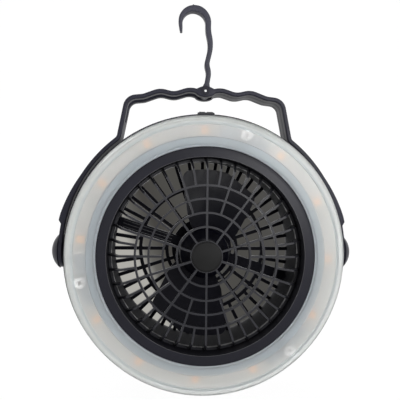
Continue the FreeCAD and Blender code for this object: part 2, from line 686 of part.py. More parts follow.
def sector(name, outer, inner, low, high, middle, sweep):
    """A flat arc of a ring, standing forward from one depth to another."""
    facing_front = FreeCAD.Rotation(TO_THE_RIGHT, 90)
    pieces = []
    for part, radius in (("outer", outer), ("inner", inner)):
        pieces.append(primitive("Part::Cylinder", "%s_%s" % (name, part), Radius=radius,
                                Height="(%s) - (%s)" % (high, low), Angle=sweep))
    start = size(middle) - size(sweep) / 2
    turn = FreeCAD.Rotation(TO_THE_REAR, -start)
    for piece in pieces:
        put(piece, "0", low, "0", turn.multiply(facing_front))
    return combine("Part::Cut", name, pieces[0], pieces[1:])


def build_lamp_strips():
    strips = []
    for number, middle in enumerate(strip_middles(), start=1):
        strips.append(sector(
            "strip_%d" % number, "lamp_circle + strip_width / 2", "lamp_circle - strip_width / 2",
            "light_back", "light_back + strip_thickness", middle, "strip_sweep"))
    group("lamp_strips", strips)


def build_lamps():
    lamps = []
    count = int(size("lamps_per_strip"))
    for number, middle in enumerate(strip_middles()):
        for step in range(count):
            angle = "(%s + (%s) * lamp_step)" % (middle, step - (count - 1) / 2)
            lamp = primitive("Part::Box", "lamp_%d_%d" % (number, step), Length="lamp_side",
                             Width="lamp_height", Height="lamp_side")
            turn = FreeCAD.Rotation(TO_THE_REAR, -size(angle))
            across, up = on_circle("lamp_circle", angle)
            half = "lamp_side / 2"
            put(lamp,
                "%s - %s * cos(%s) + %s * sin(%s)" % (across, half, angle, half, angle),
                "light_back + strip_thickness + lamp_height",
                "%s - %s * sin(%s) - %s * cos(%s)" % (up, half, angle, half, angle), turn)
            lamps.append(lamp)
    group("lamps", lamps)


def build_link_wires():
    wires = []
    facing_front = FreeCAD.Rotation(TO_THE_RIGHT, 90)
    sweep = "(360 / light_post_count - strip_sweep + 12)"
    for number in range(1, int(size("light_post_count"))):
        middle = "light_post_angle + (%d) * 360 / light_post_count" % number
        wire = primitive("Part::Torus", "link_wire_%d" % number, Radius1="link_wire_circle",
                         Radius2="link_wire_radius", Angle3=sweep)
        turn = FreeCAD.Rotation(TO_THE_REAR, -(size(middle) - size(sweep) / 2))
        put(wire, "0", "light_back + link_wire_radius + running_gap", "0", turn.multiply(facing_front))
        wires.append(wire)
    group("lamp_link_wires", wires)


# Screws

def screw_profile(head_face, toward_front, head_radius, head_height, shank_radius, length):
    """A pan head screw on the axis: its head ends at one depth and its shank goes forward."""
    return [
        ("0", head_face), (head_radius, head_face), (head_radius, "(%s) + %s" % (head_face, head_height)),
        (shank_radius, "(%s) + %s" % (head_face, head_height)),
        (shank_radius, "(%s) + %s + %s" % (head_face, head_height, length)),
        ("0", "(%s) + %s + %s" % (head_face, head_height, length))]


def screw_set(label, head_face, length, circle, angle, count):
    """Equal screws on a circle round the fan's axis, with their heads to the rear."""
    body = new_body(label, many=True)
    across, up = on_circle(circle, angle)
    head = post(body, label + "_head", across, up, "screw_head_radius", head_face,
                "(%s) + screw_head_height" % head_face)
    shank = post(body, label + "_shank", across, up, "screw_radius", head_face,
                 "(%s) + screw_head_height + (%s)" % (head_face, length))
    around(body, label + "_all", [head, shank], count)


def build_screws():
    screw_set("housing_screws", "rear_lip", "housing_post_height + 8 - rear_lip",
              "housing_post_circle", "housing_post_angle", "housing_post_count")
    screw_set("light_ring_screws", TRAY_BACK + " - screw_head_height", "tray_thickness + 6",
              "lamp_circle", "light_post_angle", "light_post_count")
    screw_set("motor_screws", "fit_gap", "rear_grille_depth - screw_head_height + 3",
              "motor_screw_offset", "0", "2")


# Motor and rotor

def build_motor():
    body = new_body("motor")
    bush_back = "(%s + nose_length - bush_length)" % MOTOR_FRONT
    front = "(%s + nose_length)" % MOTOR_FRONT
    can = turned(body, "motor_can", [
        ("0", "rear_grille_depth"), ("motor_radius", "rear_grille_depth"), ("motor_radius", MOTOR_FRONT),
        ("nose_radius", MOTOR_FRONT), ("nose_radius", front), (BUSH_RADIUS, front),
        (BUSH_RADIUS, bush_back), (SHAFT_BORE + " + fit_gap", bush_back),
        (SHAFT_BORE + " + fit_gap", "rear_grille_depth + 5"), ("0", "rear_grille_depth + 5")])
    rounded(body, "can_edge", can, "1.2", [("motor_radius", MOTOR_FRONT)])
    for side, name in SIDES:
        post(body, name + "_mounting_hole", "%d * motor_screw_offset" % side, "0",
             "screw_radius + running_gap", "rear_grille_depth", "rear_grille_depth + 3.5",
             "PartDesign::Pocket")


def build_motor_bush():
    body = new_body("motor_bush")
    front = "(%s + nose_length)" % MOTOR_FRONT
    turned(body, "bush_sleeve", [
        (SHAFT_BORE, "%s - bush_length" % front), (BUSH_RADIUS, "%s - bush_length" % front),
        (BUSH_RADIUS, front), (SHAFT_BORE, front)])


def build_motor_shaft():
    body = new_body("motor_shaft")
    post(body, "shaft_rod", "0", "0", "shaft_radius", "rear_grille_depth + 5.5", "rotor_front - 2")


def build_rotor_hub():
    """The hub of the rotor as a body of its own, which the rotor then takes in."""
    body = DOC.addObject("PartDesign::Body", "rotor_hub")
    inside = "(rotor_hub_radius - rotor_hub_wall)"
    socket = "(%s + nose_length + 2)" % MOTOR_FRONT
    cup = turned(body, "hub_cup", [
        (inside, "rotor_back"), ("rotor_hub_radius", "rotor_back"), ("rotor_hub_radius", "rotor_shoulder"),
        ("rotor_hub_radius * 0.62", "rotor_front"), ("0", "rotor_front"), ("0", "rotor_front - 1.5"),
        ("shaft_radius", "rotor_front - 1.5"), ("shaft_radius", socket), ("nose_radius", socket),
        ("nose_radius", "rotor_front - 4"), (inside + " * 0.8", "rotor_shoulder + 1"),
        (inside, "rotor_shoulder - 2")])
    rounded(body, "hub_nose", cup, "4",
            [("rotor_hub_radius", "rotor_shoulder"), ("rotor_hub_radius * 0.62", "rotor_front")])
    return body


def polar(radius, angle):
    turn = math.radians(angle)
    return Vector(radius * math.cos(turn), 0, radius * math.sin(turn))


def blade_slab(first_angle, last_angle):
    """A bowed helical slab: a radial strip that moves forward while it turns about the axis."""
    half = size("blade_thickness") / 2
    root_radius = size("rotor_hub_radius - rotor_hub_wall / 2")
    tip_radius = size("blade_radius") + 3
    strips = []
    steps = 6
    for step in range(steps + 1):
        share = step / steps
        angle = first_angle + share * (last_angle - first_angle)
        bow = size("blade_bow") * 4 * share * (1 - share)
        root = size("blade_root_back + %s * (blade_root_front - blade_root_back)" % share)
        tip = size("blade_tip_back + %s * (blade_tip_front - blade_tip_back)" % share) - bow
        corners = []
        for radius, depth in ((root_radius, root - half), (tip_radius, tip - half),
                              (tip_radius, tip + half), (root_radius, root + half)):
            corners.append(polar(radius, angle) - TO_THE_REAR * depth)
        strips.append(Part.makePolygon(corners + corners[:1]))
    return Part.makeLoft(strips, True, False)


def blade_outline(first_angle, last_angle):
    """The blade seen from the front: swept leading edge, round tip, nearly straight trailing edge."""
    root = size("rotor_hub_radius") - 3
    tip = size("blade_radius")
    corners = [
        (polar(root, first_angle - 4), 0), (polar(tip * 0.455, first_angle + 12), 10),
        (polar(tip * 0.932, first_angle + 32), 6), (polar(tip * 1.038, first_angle + 64), 15),
        (polar(tip * 1.023, last_angle - 15), 7), (polar(tip * 0.47, last_angle - 5.5), 0),
        (polar(root, last_angle - 3), 0)]
    return rounded_outline(corners)


def build_fan_rotor():
    hub = build_rotor_hub()
    first_angle, last_angle = size("blade_start_angle"), size("blade_end_angle")
    slab = blade_slab(first_angle, last_angle)
    outline = blade_outline(first_angle, last_angle)
    prism = Part.Face(outline).extrude(-TO_THE_REAR * size("body_depth"))
    disc = Part.makeCylinder(size("blade_radius"), size("body_depth"), Vector(0, 0, 0), -TO_THE_REAR)
    blade_shape = slab.common(prism).common(disc)
    blades = []
    for number in range(2):
        blade = DOC.addObject("Part::Feature", "blade_%d" % (number + 1))
        blade.Shape = blade_shape
        blade.Placement = FreeCAD.Placement(Vector(0, 0, 0), FreeCAD.Rotation(TO_THE_REAR, 180 * number))
        blades.append(blade)
    keep(fused("rotor_join", [hub] + blades), "fan_rotor")


# Rounded paths for the handle, the hook and the blades

def turn_at(before, corner, after):
    """Unit directions into and out of a corner, and the signed turn between them."""
    inward = (corner - before).normalize()
    outward = (after - corner).normalize()
    turn = math.atan2(inward.z * outward.x - inward.x * outward.z, inward.dot(outward))
    return inward, outward, turn


def corner_arc(before, corner, after, radius):
    """Start, middle and end of the arc that rounds a corner; the middle is None for a sharp one."""
    inward, outward, turn = turn_at(before, corner, after)
    if radius <= 0 or abs(turn) < 1e-4:
        return corner, None, corner
    reach = radius * math.tan(abs(turn) / 2)
    start = corner - inward * reach
    end = corner + outward * reach
    bisector = (outward - inward).normalize()
    middle = corner + bisector * (radius / math.cos(turn / 2) - radius)
    return start, middle, end


def shift_path(points, distance):
    """The path moved sideways by a distance; its corners' radii change with it."""
    moved = []
    for number, (corner, radius) in enumerate(points):
        before = points[number - 1][0] if number > 0 else None
        after = points[number + 1][0] if number + 1 < len(points) else None
        if before is None:
            direction = (after - corner).normalize()
            moved.append((corner + side_of(direction) * distance, 0))
        elif after is None:
            direction = (corner - before).normalize()
            moved.append((corner + side_of(direction) * distance, 0))
        else:
            inward, outward, turn = turn_at(before, corner, after)
            miter = (side_of(inward) + side_of(outward)).normalize() * (distance / math.cos(turn / 2))
            change = distance if turn > 0 else -distance
            moved.append((corner + miter, max(radius + change, 0) if radius > 0 else 0))
    return moved


def side_of(direction):
    """The direction at a right angle, to the left of one in the XZ plane."""
    return Vector(-direction.z, 0, direction.x)


def path_edges(points, closed=False):
    arcs = []
    count = len(points)
    for number, (corner, radius) in enumerate(points):
        if not closed and number in (0, count - 1):
            arcs.append((corner, None, corner))
        else:
            arcs.append(corner_arc(points[number - 1][0], corner, points[(number + 1) % count][0], radius))
    edges = []
    for number, (start, middle, end) in enumerate(arcs):
        if middle is not None:
            edges.append(Part.Arc(start, middle, end).toShape())
        if closed or number + 1 < count:
            following = arcs[(number + 1) % count][0]
            if (following - end).Length > 1e-4:
                edges.append(Part.LineSegment(end, following).toShape())
    return edges


def rounded_outline(points):
    return Part.Wire(path_edges(points, closed=True))


def band(points, thickness, width):
    """A flat band of the given thickness along a path, from Y = 0 to the rear by its width."""
    left = path_edges(shift_path(points, thickness / 2))
    right = path_edges(shift_path(points, -thickness / 2))
    ends = [Part.LineSegment(left[-1].Vertexes[-1].Point, right[-1].Vertexes[-1].Point).toShape(),
            Part.LineSegment(right[0].Vertexes[0].Point, left[0].Vertexes[0].Point).toShape()]
    ordered = Part.sortEdges(left + [ends[0]] + right + [ends[1]])[0]
    face = Part.Face(Part.Wire(ordered))
    return face.extrude(TO_THE_REAR * width)


# Handle

def handle_path():
    """Middle line of the handle from the left ear over the grip to the right ear."""
    arm = size("arm_radius")
    sweep = math.radians(size("arm_sweep"))
    pin = size("hook_pin_height")
    shoulder = polar(arm, size("arm_sweep")) + Vector(-math.sin(sweep), 0, math.cos(sweep)) * 2.5
    half = [
        (Vector(arm, 0, 0), 0),
        (Vector(arm, 0, arm * math.tan(sweep / 2)), arm),
        (shoulder, 6),
        (Vector(62.4, 0, pin - 6.4), 9),
        (Vector(49.5, 0, pin - 5.0), 14),
        (Vector(36.5, 0, pin - 0.1), 14),
        (Vector(25.0, 0, pin - 2.8), 14),
        (Vector(12.5, 0, pin + 1.3), 14)]
    mirrored = [(Vector(-corner.x, 0, corner.z), radius) for corner, radius in half]
    return mirrored + [(Vector(0, 0, pin - 1.8), 14)] + half[::-1]


def handle_strap():
    """The bent strap, its long edges rounded on the outside and bevelled on the inside."""
    width = size("handle_depth")
    solid = band(handle_path(), size("handle_thickness"), width)
    outside = Part.Wire(path_edges(shift_path(handle_path(), size("handle_thickness") / 2)))
    outer_edges, inner_edges = [], []
    for edge in solid.Edges:
        box = edge.BoundBox
        if box.YLength > 0.01 or box.ZMax < 0.01:
            continue
        middle = edge.valueAt((edge.FirstParameter + edge.LastParameter) / 2)
        middle.y = 0
        on_outside = outside.distToShape(Part.Vertex(middle))[0] < 0.01
        (outer_edges if on_outside else inner_edges).append(edge)
    solid = solid.makeFillet(size("handle_edge"), outer_edges)
    remaining = [edge for edge in solid.Edges
                 if any(same_edge(edge, inner) for inner in inner_edges)]
    solid = solid.makeChamfer(size("handle_inner_edge"), remaining)
    strap = DOC.addObject("Part::Feature", "handle_strap")
    strap.Shape = solid
    bind(strap, "Placement.Base.y", "-(pivot_depth + handle_depth / 2)")
    return strap


def same_edge(one, other):
    """True if two edges have their middles at the same place and are equally long."""
    here = one.valueAt((one.FirstParameter + one.LastParameter) / 2)
    there = other.valueAt((other.FirstParameter + other.LastParameter) / 2)
    return (here - there).Length < 0.01 and abs(one.Length - other.Length) < 0.05


def extruded(name, corners, width):
    """A block of a rounded outline, width deep and centred on the pivot's depth."""
    piece = DOC.addObject("Part::Feature", name)
    piece.Shape = Part.Face(rounded_outline(corners)).extrude(TO_THE_REAR * size(width))
    bind(piece, "Placement.Base.y", "-(pivot_depth + (%s) / 2)" % width)
    return piece


def along_x(name, radius, side, start, end):
    """A cylinder on a pivot's axis between two distances from the middle, on one side."""
    rod = primitive("Part::Cylinder", name, Radius=radius, Height="(%s) - (%s)" % (end, start))
    turn = FreeCAD.Rotation(TO_THE_REAR, 90 * side)
    return put(rod, "%d * (%s)" % (side, start), "pivot_depth", "0", turn)


def along_y(name, radius, across, up, start, end):
    """A cylinder parallel to the fan's axis between two depths."""
    rod = primitive("Part::Cylinder", name, Radius=radius, Height="(%s) - (%s)" % (end, start))
    return put(rod, across, start, up, FreeCAD.Rotation(TO_THE_RIGHT, 90))


def build_handle():
    pin = size("hook_pin_height")
    strap = handle_strap()
    hump = extruded("pin_hump", [
        (Vector(-8.6, 0, pin - 3.2), 0), (Vector(-4.8, 0, pin + 4.1), 4),
        (Vector(4.8, 0, pin + 4.1), 4), (Vector(8.6, 0, pin - 3.2), 0)], "handle_depth - 2 * fit_gap")
    solids = [strap, hump]
    cuts = []
    for side, name in SIDES:
        solids.append(along_x(name + "_ear", "ear_radius", side, EAR_INNER, EAR_OUTER))
        cuts.append(along_x(name + "_ear_face", "ear_radius + 2.6", side, "arm_radius - 14", EAR_INNER))
        cuts.append(along_x(name + "_ear_bore", PIVOT_BUSH_RADIUS + " + running_gap", side,
                            "arm_radius - 14", "arm_radius + 14"))
    slot = primitive("Part::Box", "hook_slot", Length="arm_radius * 0.7",
                     Width="hook_width + 2 * fit_gap + 2 * running_gap",
                     Height="hook_pin_height + 20 - slot_end_height")
    put(slot, "hook_eye_radius + 2 * fit_gap - arm_radius * 0.7",
        "pivot_depth + (hook_width + 2 * fit_gap + 2 * running_gap) / 2", "slot_end_height")
    cuts.append(slot)
    cuts.append(along_y("pin_hole", "pin_radius", "0", "hook_pin_height",
                        "pivot_depth - handle_depth", "pivot_depth + handle_depth"))
    whole = fused("handle_join", solids)
    keep(combine("Part::Cut", "handle_cut", whole, cuts), "handle")


def build_pivots():
    """Caps, screws, sleeves and washers of both pivots."""
    sleeve_end = "(%s + 2 * fit_gap)" % EAR_OUTER
    screws, sleeves, washers = [], [], []
    for side, name in SIDES:
        dome = primitive("Part::Sphere", name + "_dome", Radius=DOME_RADIUS,
                         Angle1="asin(1 - pivot_cap_height / %s)" % DOME_RADIUS)
        put(dome, "%d * (%s + pivot_cap_height - %s)" % (side, EAR_OUTER, DOME_RADIUS), "pivot_depth", "0",
            FreeCAD.Rotation(TO_THE_REAR, 90 * side))
        hollow = along_x(name + "_dome_hollow", "pivot_cap_hollow", side, EAR_OUTER,
                         "%s + pivot_head_height + fit_gap" % sleeve_end)
        keep(combine("Part::Cut", name + "_cap_cut", dome, [hollow]), "pivot_cap_" + name)
        head = along_x(name + "_pivot_head", "pivot_head_radius", side, sleeve_end,
                       "%s + pivot_head_height" % sleeve_end)
        shank = along_x(name + "_pivot_shank", "pivot_screw_radius", side,
                        "%s - pivot_screw_length" % sleeve_end, "%s + 1" % sleeve_end)
        screws.append(fused(name + "_pivot_screw", [head, shank]))
        sleeves.append(tube(name + "_sleeve", PIVOT_BUSH_RADIUS, "pivot_screw_radius + running_gap",
                            side, BOSS_FACE, sleeve_end))
        washers.append(tube(name + "_washer", "washer_radius", PIVOT_BUSH_RADIUS + " + running_gap",
                            side, BOSS_FACE, BOSS_FACE + " + washer_thickness"))
    group("pivot_screws", screws)
    group("pivot_sleeves", sleeves)
    group("pivot_washers", washers)


def tube(name, outer, inner, side, start, end):
    solid = along_x(name + "_outer", outer, side, start, end)
    bore = along_x(name + "_bore", inner, side, start, end)
    return combine("Part::Cut", name, solid, [bore])


# Hook

def hook_path():
    """Middle line of the hook from its pin up the gently waved shank, round the bend to the tip."""
    pin = size("hook_pin_height")
    bend = size("hook_crown_radius")
    top = size("hook_crown_height") + bend
    centre = -size("hook_crown_shift")
    tip = size("hook_crown_height - hook_tip_drop")
    return [
        (Vector(0.3, 0, pin), 0),
        (Vector(3.2, 0, pin + 16.5), 15),
        (Vector(1.3, 0, pin + 23.5), 11),
        (Vector(4.9, 0, pin + 39.0), 30),
        (Vector(centre + bend, 0, pin + 51.0), 30),
        (Vector(centre + bend, 0, top), bend),
        (Vector(centre - bend, 0, top), bend * 0.92),
        (Vector(centre - bend + 1.2, 0, tip), 0)]


def build_hook():
    width = size("hook_width")
    solid = band(hook_path(), size("hook_thickness"), width)
    long_ones = [edge for edge in solid.Edges
                 if edge.BoundBox.YLength < 0.01 and not is_band_end(edge)]
    solid = solid.makeFillet(size("hook_edge"), long_ones)
    bar = DOC.addObject("Part::Feature", "hook_bar")
    bar.Shape = solid
    bind(bar, "Placement.Base.y", "-(pivot_depth + hook_width / 2)")
    back, front = "pivot_depth - hook_width / 2", "pivot_depth + hook_width / 2"
    eye = along_y("hook_eye", "hook_eye_radius", "0", "hook_pin_height", back, front)
    bead = along_y("hook_bead", "hook_thickness * 0.62", "-hook_crown_shift - hook_crown_radius + 1.2",
                   "hook_crown_height - hook_tip_drop", back + " + hook_edge", front + " - hook_edge")
    nib = along_y("hook_nib", "hook_thickness * 0.35", "-hook_crown_shift - 0.4",
                  "hook_crown_height + hook_crown_radius + hook_thickness * 0.38",
                  back + " + hook_edge", front + " - hook_edge")
    whole = fused("hook_join", [bar, eye, bead, nib])
    bore = along_y("hook_bore", "pin_radius + running_gap", "0", "hook_pin_height",
                   back + " - 1", front + " + 1")
    keep(combine("Part::Cut", "hook_cut", whole, [bore]), "hook")


def is_band_end(edge):
    """True for the short straight edges at the two ends of the hook's bar."""
    straight = isinstance(edge.Curve, (Part.Line, Part.LineSegment))
    return straight and abs(edge.Length - size("hook_thickness")) < 0.01


def build_hook_pin():
    body = new_body("hook_pin")
    back, front = "(pivot_depth - handle_depth / 2)", "(pivot_depth + handle_depth / 2)"
    turn = new_sketch(body, "pin_circle", "XZ_Plane", back + " - pin_flange")
    draw_circle(turn, "0", "hook_pin_height", "pin_radius")
    along_axis(body, "pin_rod", turn, back + " - pin_flange", front + " + pin_flange", "PartDesign::Pad")
    post(body, "rear_flange", "0", "hook_pin_height", "pin_flange_radius", back + " - pin_flange", back)
    post(body, "front_flange", "0", "hook_pin_height", "pin_flange_radius", front, front + " + pin_flange")
    post(body, "pin_bore_cut", "0", "hook_pin_height", "pin_bore", back + " - 2 * pin_flange",
         front + " + 2 * pin_flange", "PartDesign::Pocket")


# Keys, control board and power

def build_key(label, side):
    body = new_body(label)
    middle = "(%d * key_spacing / 2)" % side
    half = "(key_width / 2)"
    back, front = "keys_depth - key_length / 2", "keys_depth + key_length / 2"
    floor = "(%s + key_travel + 0.4)" % SWITCH_TOP
    flange_top = "(%s + key_travel + 1.2)" % SWITCH_TOP
    block(body, label + "_cap", rectangle("%s - %s" % (middle, half), "%s + %s" % (middle, half),
                                          floor, "key_top"), back, front)
    block(body, label + "_flange", rectangle("%s - %s" % (middle, half), "%s + %s" % (middle, half),
                                             floor, flange_top), back + " - 0.8", front + " + 0.8")
    block(body, label + "_foot", rectangle("%s - key_stem" % middle, "%s + key_stem" % middle,
                                           "%s + key_travel + 0.1" % SWITCH_TOP, flange_top),
          "keys_depth - key_stem", "keys_depth + key_stem")
    round_top(body, label)


def round_top(body, label):
    """Round the four upper edges of a key."""
    base = body.Tip
    level = size("key_top")
    names = ["Edge%d" % number for number, edge in enumerate(base.Shape.Edges, start=1)
             if abs(edge.BoundBox.ZMin - level) < 1e-4]
    fillet = body.newObject("PartDesign::Fillet", label + "_top_edges")
    fillet.Base = (base, names)
    fillet.Radius = 0.6
    DOC.recompute()


def build_key_frame():
    body = DOC.addObject("PartDesign::Body", "key_frame_body")
    back, front = "keys_depth - key_frame_length / 2", "keys_depth + key_frame_length / 2"
    low = "housing_rear_radius - housing_wall / 2"
    block(body, "key_frame_block", [
        ("-key_frame_base / 2", low), ("key_frame_base / 2", low),
        ("key_frame_crest / 2", "key_frame_top"), ("-key_frame_crest / 2", "key_frame_top")], back, front)
    for side, name in SIDES:
        block(body, name + "_key_hole", rectangle(
            "%d * key_spacing / 2 - key_width / 2 - key_gap" % side,
            "%d * key_spacing / 2 + key_width / 2 + key_gap" % side, low + " - 1", "key_frame_top + 1"),
            "keys_depth - key_length / 2 - key_gap", "keys_depth + key_length / 2 + key_gap",
            "PartDesign::Pocket")
    cone = primitive("Part::Cone", "housing_outside", Radius1="housing_rear_radius",
                     Radius2="housing_radius", Height="light_back - rim_width")
    put(cone, "0", "0", "0", FreeCAD.Rotation(TO_THE_RIGHT, 90))
    keep(combine("Part::Cut", "key_frame_cut", body, [cone]), "key_frame")


def build_control_board():
    body = new_body("control_board")
    block(body, "board_plate", rectangle("-board_width / 2", "board_width / 2", "board_height", BOARD_TOP),
          "board_back", "board_front")
    block(body, "main_chip", rectangle("-12", "-5", "board_height - 1", "board_height"), "20", "27")
    block(body, "coil", rectangle("4", "10", "board_height - 3", "board_height"), "22", "28")
    block(body, "tall_part", rectangle("12", "16", "board_height - 5", "board_height"), "30", "34")


def build_push_switches():
    body = new_body("push_switches", many=True)
    half = "(switch_side / 2)"
    for side, name in SIDES:
        middle = "(%d * key_spacing / 2)" % side
        block(body, name + "_switch", rectangle(
            "%s - %s" % (middle, half), "%s + %s" % (middle, half), BOARD_TOP, BOARD_TOP + " + switch_height"),
            "keys_depth - %s" % half, "keys_depth + %s" % half)
        block(body, name + "_plunger", rectangle(
            "%s - plunger_radius" % middle, "%s + plunger_radius" % middle,
            BOARD_TOP + " + switch_height / 2", SWITCH_TOP),
            "keys_depth - plunger_radius", "keys_depth + plunger_radius")


def build_charge_port():
    body = new_body("charge_port")
    left, right = "charge_port_x - charge_port_width / 2", "charge_port_x + charge_port_width / 2"
    low, high = "board_height - charge_port_height", "board_height"
    back, front = "fit_gap", "fit_gap + charge_port_length"
    wall = "charge_port_wall"
    block(body, "port_shell", rectangle(left, right, low, high), back, front)
    block(body, "port_hollow", rectangle(
        "%s + %s" % (left, wall), "%s - %s" % (right, wall), "%s + %s" % (low, wall), "%s - %s" % (high, wall)),
        back, front + " - 1", "PartDesign::Pocket")
    block(body, "port_tongue", rectangle(
        left + " + 1.4", right + " - 1.4", low + " + 1.25", high + " - 1.25"), back + " + 1", front + " - 0.5")


def turned_to(piece, angle):
    """Turn a piece that was built straight above the axis to another direction."""
    piece.Placement = FreeCAD.Placement(Vector(0, 0, 0), FreeCAD.Rotation(TO_THE_REAR, 90 - size(angle)))
    return piece


def box(name, left, right, back, front, low, high):
    """A box between formulas for its sides, its depths and its heights."""
    piece = primitive("Part::Box", name, Length="(%s) - (%s)" % (right, left),
                      Width="(%s) - (%s)" % (front, back), Height="(%s) - (%s)" % (high, low))
    return put(piece, left, front, low)


def cell_rod(name, radius, start, end):
    """A cylinder on a cell's axis, for a cell that lies straight above the fan's axis."""
    rod = primitive("Part::Cylinder", name, Radius=radius, Height="(%s) - (%s)" % (end, start))
    return put(rod, start, "cell_depth", "cell_circle", FreeCAD.Rotation(TO_THE_REAR, 90))


def build_battery():
    cells, saddles, contacts = [], [], []
    half = "(cell_length / 2)"
    wall_start = "(cell_length / 2 + contact_thickness)"
    wall_end = "(cell_length / 2 + contact_thickness + saddle_wall)"
    low, high = "cell_circle - saddle_width / 2", "cell_circle + saddle_width / 2"
    for side, name in SIDES:
        angle = "-90 + %d * (90 - cell_angle)" % side
        can = cell_rod(name + "_can", "cell_radius", "-" + half, half + " - 1")
        knob = cell_rod(name + "_knob", "cell_radius / 3", half + " - 1", half)
        cells.append(turned_to(fused(name + "_cell", [can, knob]), angle))
        floor = box(name + "_saddle_floor", "-" + wall_end, wall_end, "housing_wall", "cell_depth - 2", low, high)
        walls = []
        for end, far in (("low", -1), ("high", 1)):
            near_side, far_side = "%d * %s" % (far, wall_start), "%d * %s" % (far, wall_end)
            edges = (near_side, far_side) if far > 0 else (far_side, near_side)
            walls.append(box("%s_%s_wall" % (name, end), edges[0], edges[1], "housing_wall",
                             "cell_depth + cell_radius * 0.6", low, high))
            edges = ("%s" % half, wall_start) if far > 0 else ("-" + wall_start, "-" + half)
            plate = box("%s_%s_contact" % (name, end), edges[0], edges[1], "cell_depth - cell_radius * 0.5",
                        "cell_depth + cell_radius * 0.5", "cell_circle - cell_radius * 0.5",
                        "cell_circle + cell_radius * 0.5")
            contacts.append(turned_to(plate_holder(plate), angle))
        trough = cell_rod(name + "_trough", "cell_radius", "-" + wall_start, wall_start)
        whole = combine("Part::Cut", name + "_saddle_hollow", floor, [trough])
        saddles.append(turned_to(fused(name + "_saddle", [whole] + walls), angle))
    group("battery_cells", cells)
    group("battery_saddles", saddles)
    group("battery_contacts", contacts)


def plate_holder(plate):
    """A compound round one plate, so that the plate can be turned as a whole."""
    holder = DOC.addObject("Part::Compound", plate.Name + "_turned")
    holder.Links = [plate]
    return holder


def build_motor_leads():
    """Two wires that run from the motor along the bar across the rear grille."""
    leads = []
    for number, shift in enumerate(("-1.1", "1.1"), start=1):
        lead = primitive("Part::Cylinder", "lead_%d" % number, Radius="0.8",
                         Height="tunnel_radius - 5 * duct_wall - motor_radius")
        put(lead, shift, "rear_grille_depth + 1.2", "motor_radius + running_gap")
        leads.append(lead)
    pair = DOC.addObject("Part::Compound", "lead_pair")
    pair.Links = leads
    turned_to(pair, "duct_angle")
    keep(pair, "motor_leads")


# Check and write

def write_parts():
    DOC.recompute()
    for piece in DOC.Objects:
        if "Invalid" in piece.State or "Error" in piece.State:
            raise ValueError("%s did not build: %s" % (piece.Label, piece.State))
    os.makedirs("parts", exist_ok=True)
    for piece in PARTS:
        shape = piece.Shape
        if shape.isNull() or not shape.isValid() or not shape.Solids:
            raise ValueError("%s has no sound solid" % piece.Label)
        shape.exportStep("parts/%s.step" % piece.Label)


fill_sheet()
build_rear_housing()
build_rear_grille()
build_front_bezel()
build_front_grille()
build_grille_cap()
build_light_ring()
build_light_tray()
build_lamp_strips()
build_lamps()
build_link_wires()
build_screws()
build_motor()
build_motor_bush()
build_motor_shaft()
build_motor_leads()
build_fan_rotor()
build_handle()
build_pivots()
build_hook()
build_hook_pin()
build_key("fan_key", -1)
build_key("light_key", 1)
build_key_frame()
build_control_board()
build_push_switches()
build_charge_port()
build_battery()
write_parts()
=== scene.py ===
import json
import math

import bmesh
import bpy
import numpy as np
from mathutils import Matrix, Vector


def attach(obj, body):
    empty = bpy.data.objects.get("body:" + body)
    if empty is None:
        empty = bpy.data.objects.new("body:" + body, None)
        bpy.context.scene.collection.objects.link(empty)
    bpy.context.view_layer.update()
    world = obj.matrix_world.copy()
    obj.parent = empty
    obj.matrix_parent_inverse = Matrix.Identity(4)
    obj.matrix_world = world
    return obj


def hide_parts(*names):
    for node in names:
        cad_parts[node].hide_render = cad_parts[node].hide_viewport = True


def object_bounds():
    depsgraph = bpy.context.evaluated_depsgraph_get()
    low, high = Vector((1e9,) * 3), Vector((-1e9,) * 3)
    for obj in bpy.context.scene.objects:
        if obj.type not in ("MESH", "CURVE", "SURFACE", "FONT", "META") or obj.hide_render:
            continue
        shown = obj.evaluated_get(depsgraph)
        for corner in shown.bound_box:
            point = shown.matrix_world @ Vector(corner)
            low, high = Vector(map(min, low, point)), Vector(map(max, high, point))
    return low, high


# Looks of a portable camping fan: frosted light ring, dark moulded plastics, lamps and metal parts.
# Metres, X to the right, Y to the rear, Z up; the fan's axis is the line X = Z = 0.

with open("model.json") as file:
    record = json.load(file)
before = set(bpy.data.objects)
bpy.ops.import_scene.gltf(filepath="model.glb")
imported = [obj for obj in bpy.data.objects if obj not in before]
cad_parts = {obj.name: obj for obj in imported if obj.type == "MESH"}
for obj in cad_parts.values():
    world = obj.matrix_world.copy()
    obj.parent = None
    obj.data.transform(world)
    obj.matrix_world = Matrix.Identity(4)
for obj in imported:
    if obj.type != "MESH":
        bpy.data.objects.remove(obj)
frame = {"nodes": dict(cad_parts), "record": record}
cad_low, cad_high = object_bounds()
NODES = frame["nodes"]
BODY_OF = {node: body for body, members in frame["record"]["behaviour"]["bodies"].items() for node in members}
MM = 0.001

# Camera as fitted to the photograph
CAMERA_PLACE = Vector((-26.7, -415.6, 43.5)) * MM
CAMERA_YAW = 0.0604
CAMERA_PITCH = -0.0048
CAMERA_ROLL = 0.0103
FOCUS_PIXELS = 479.1
PHOTO_SIDE = 400
SENSOR_WIDTH = 36

# Sizes of the pieces made here, in millimetres. "Depth" is a distance forward of the rear face.

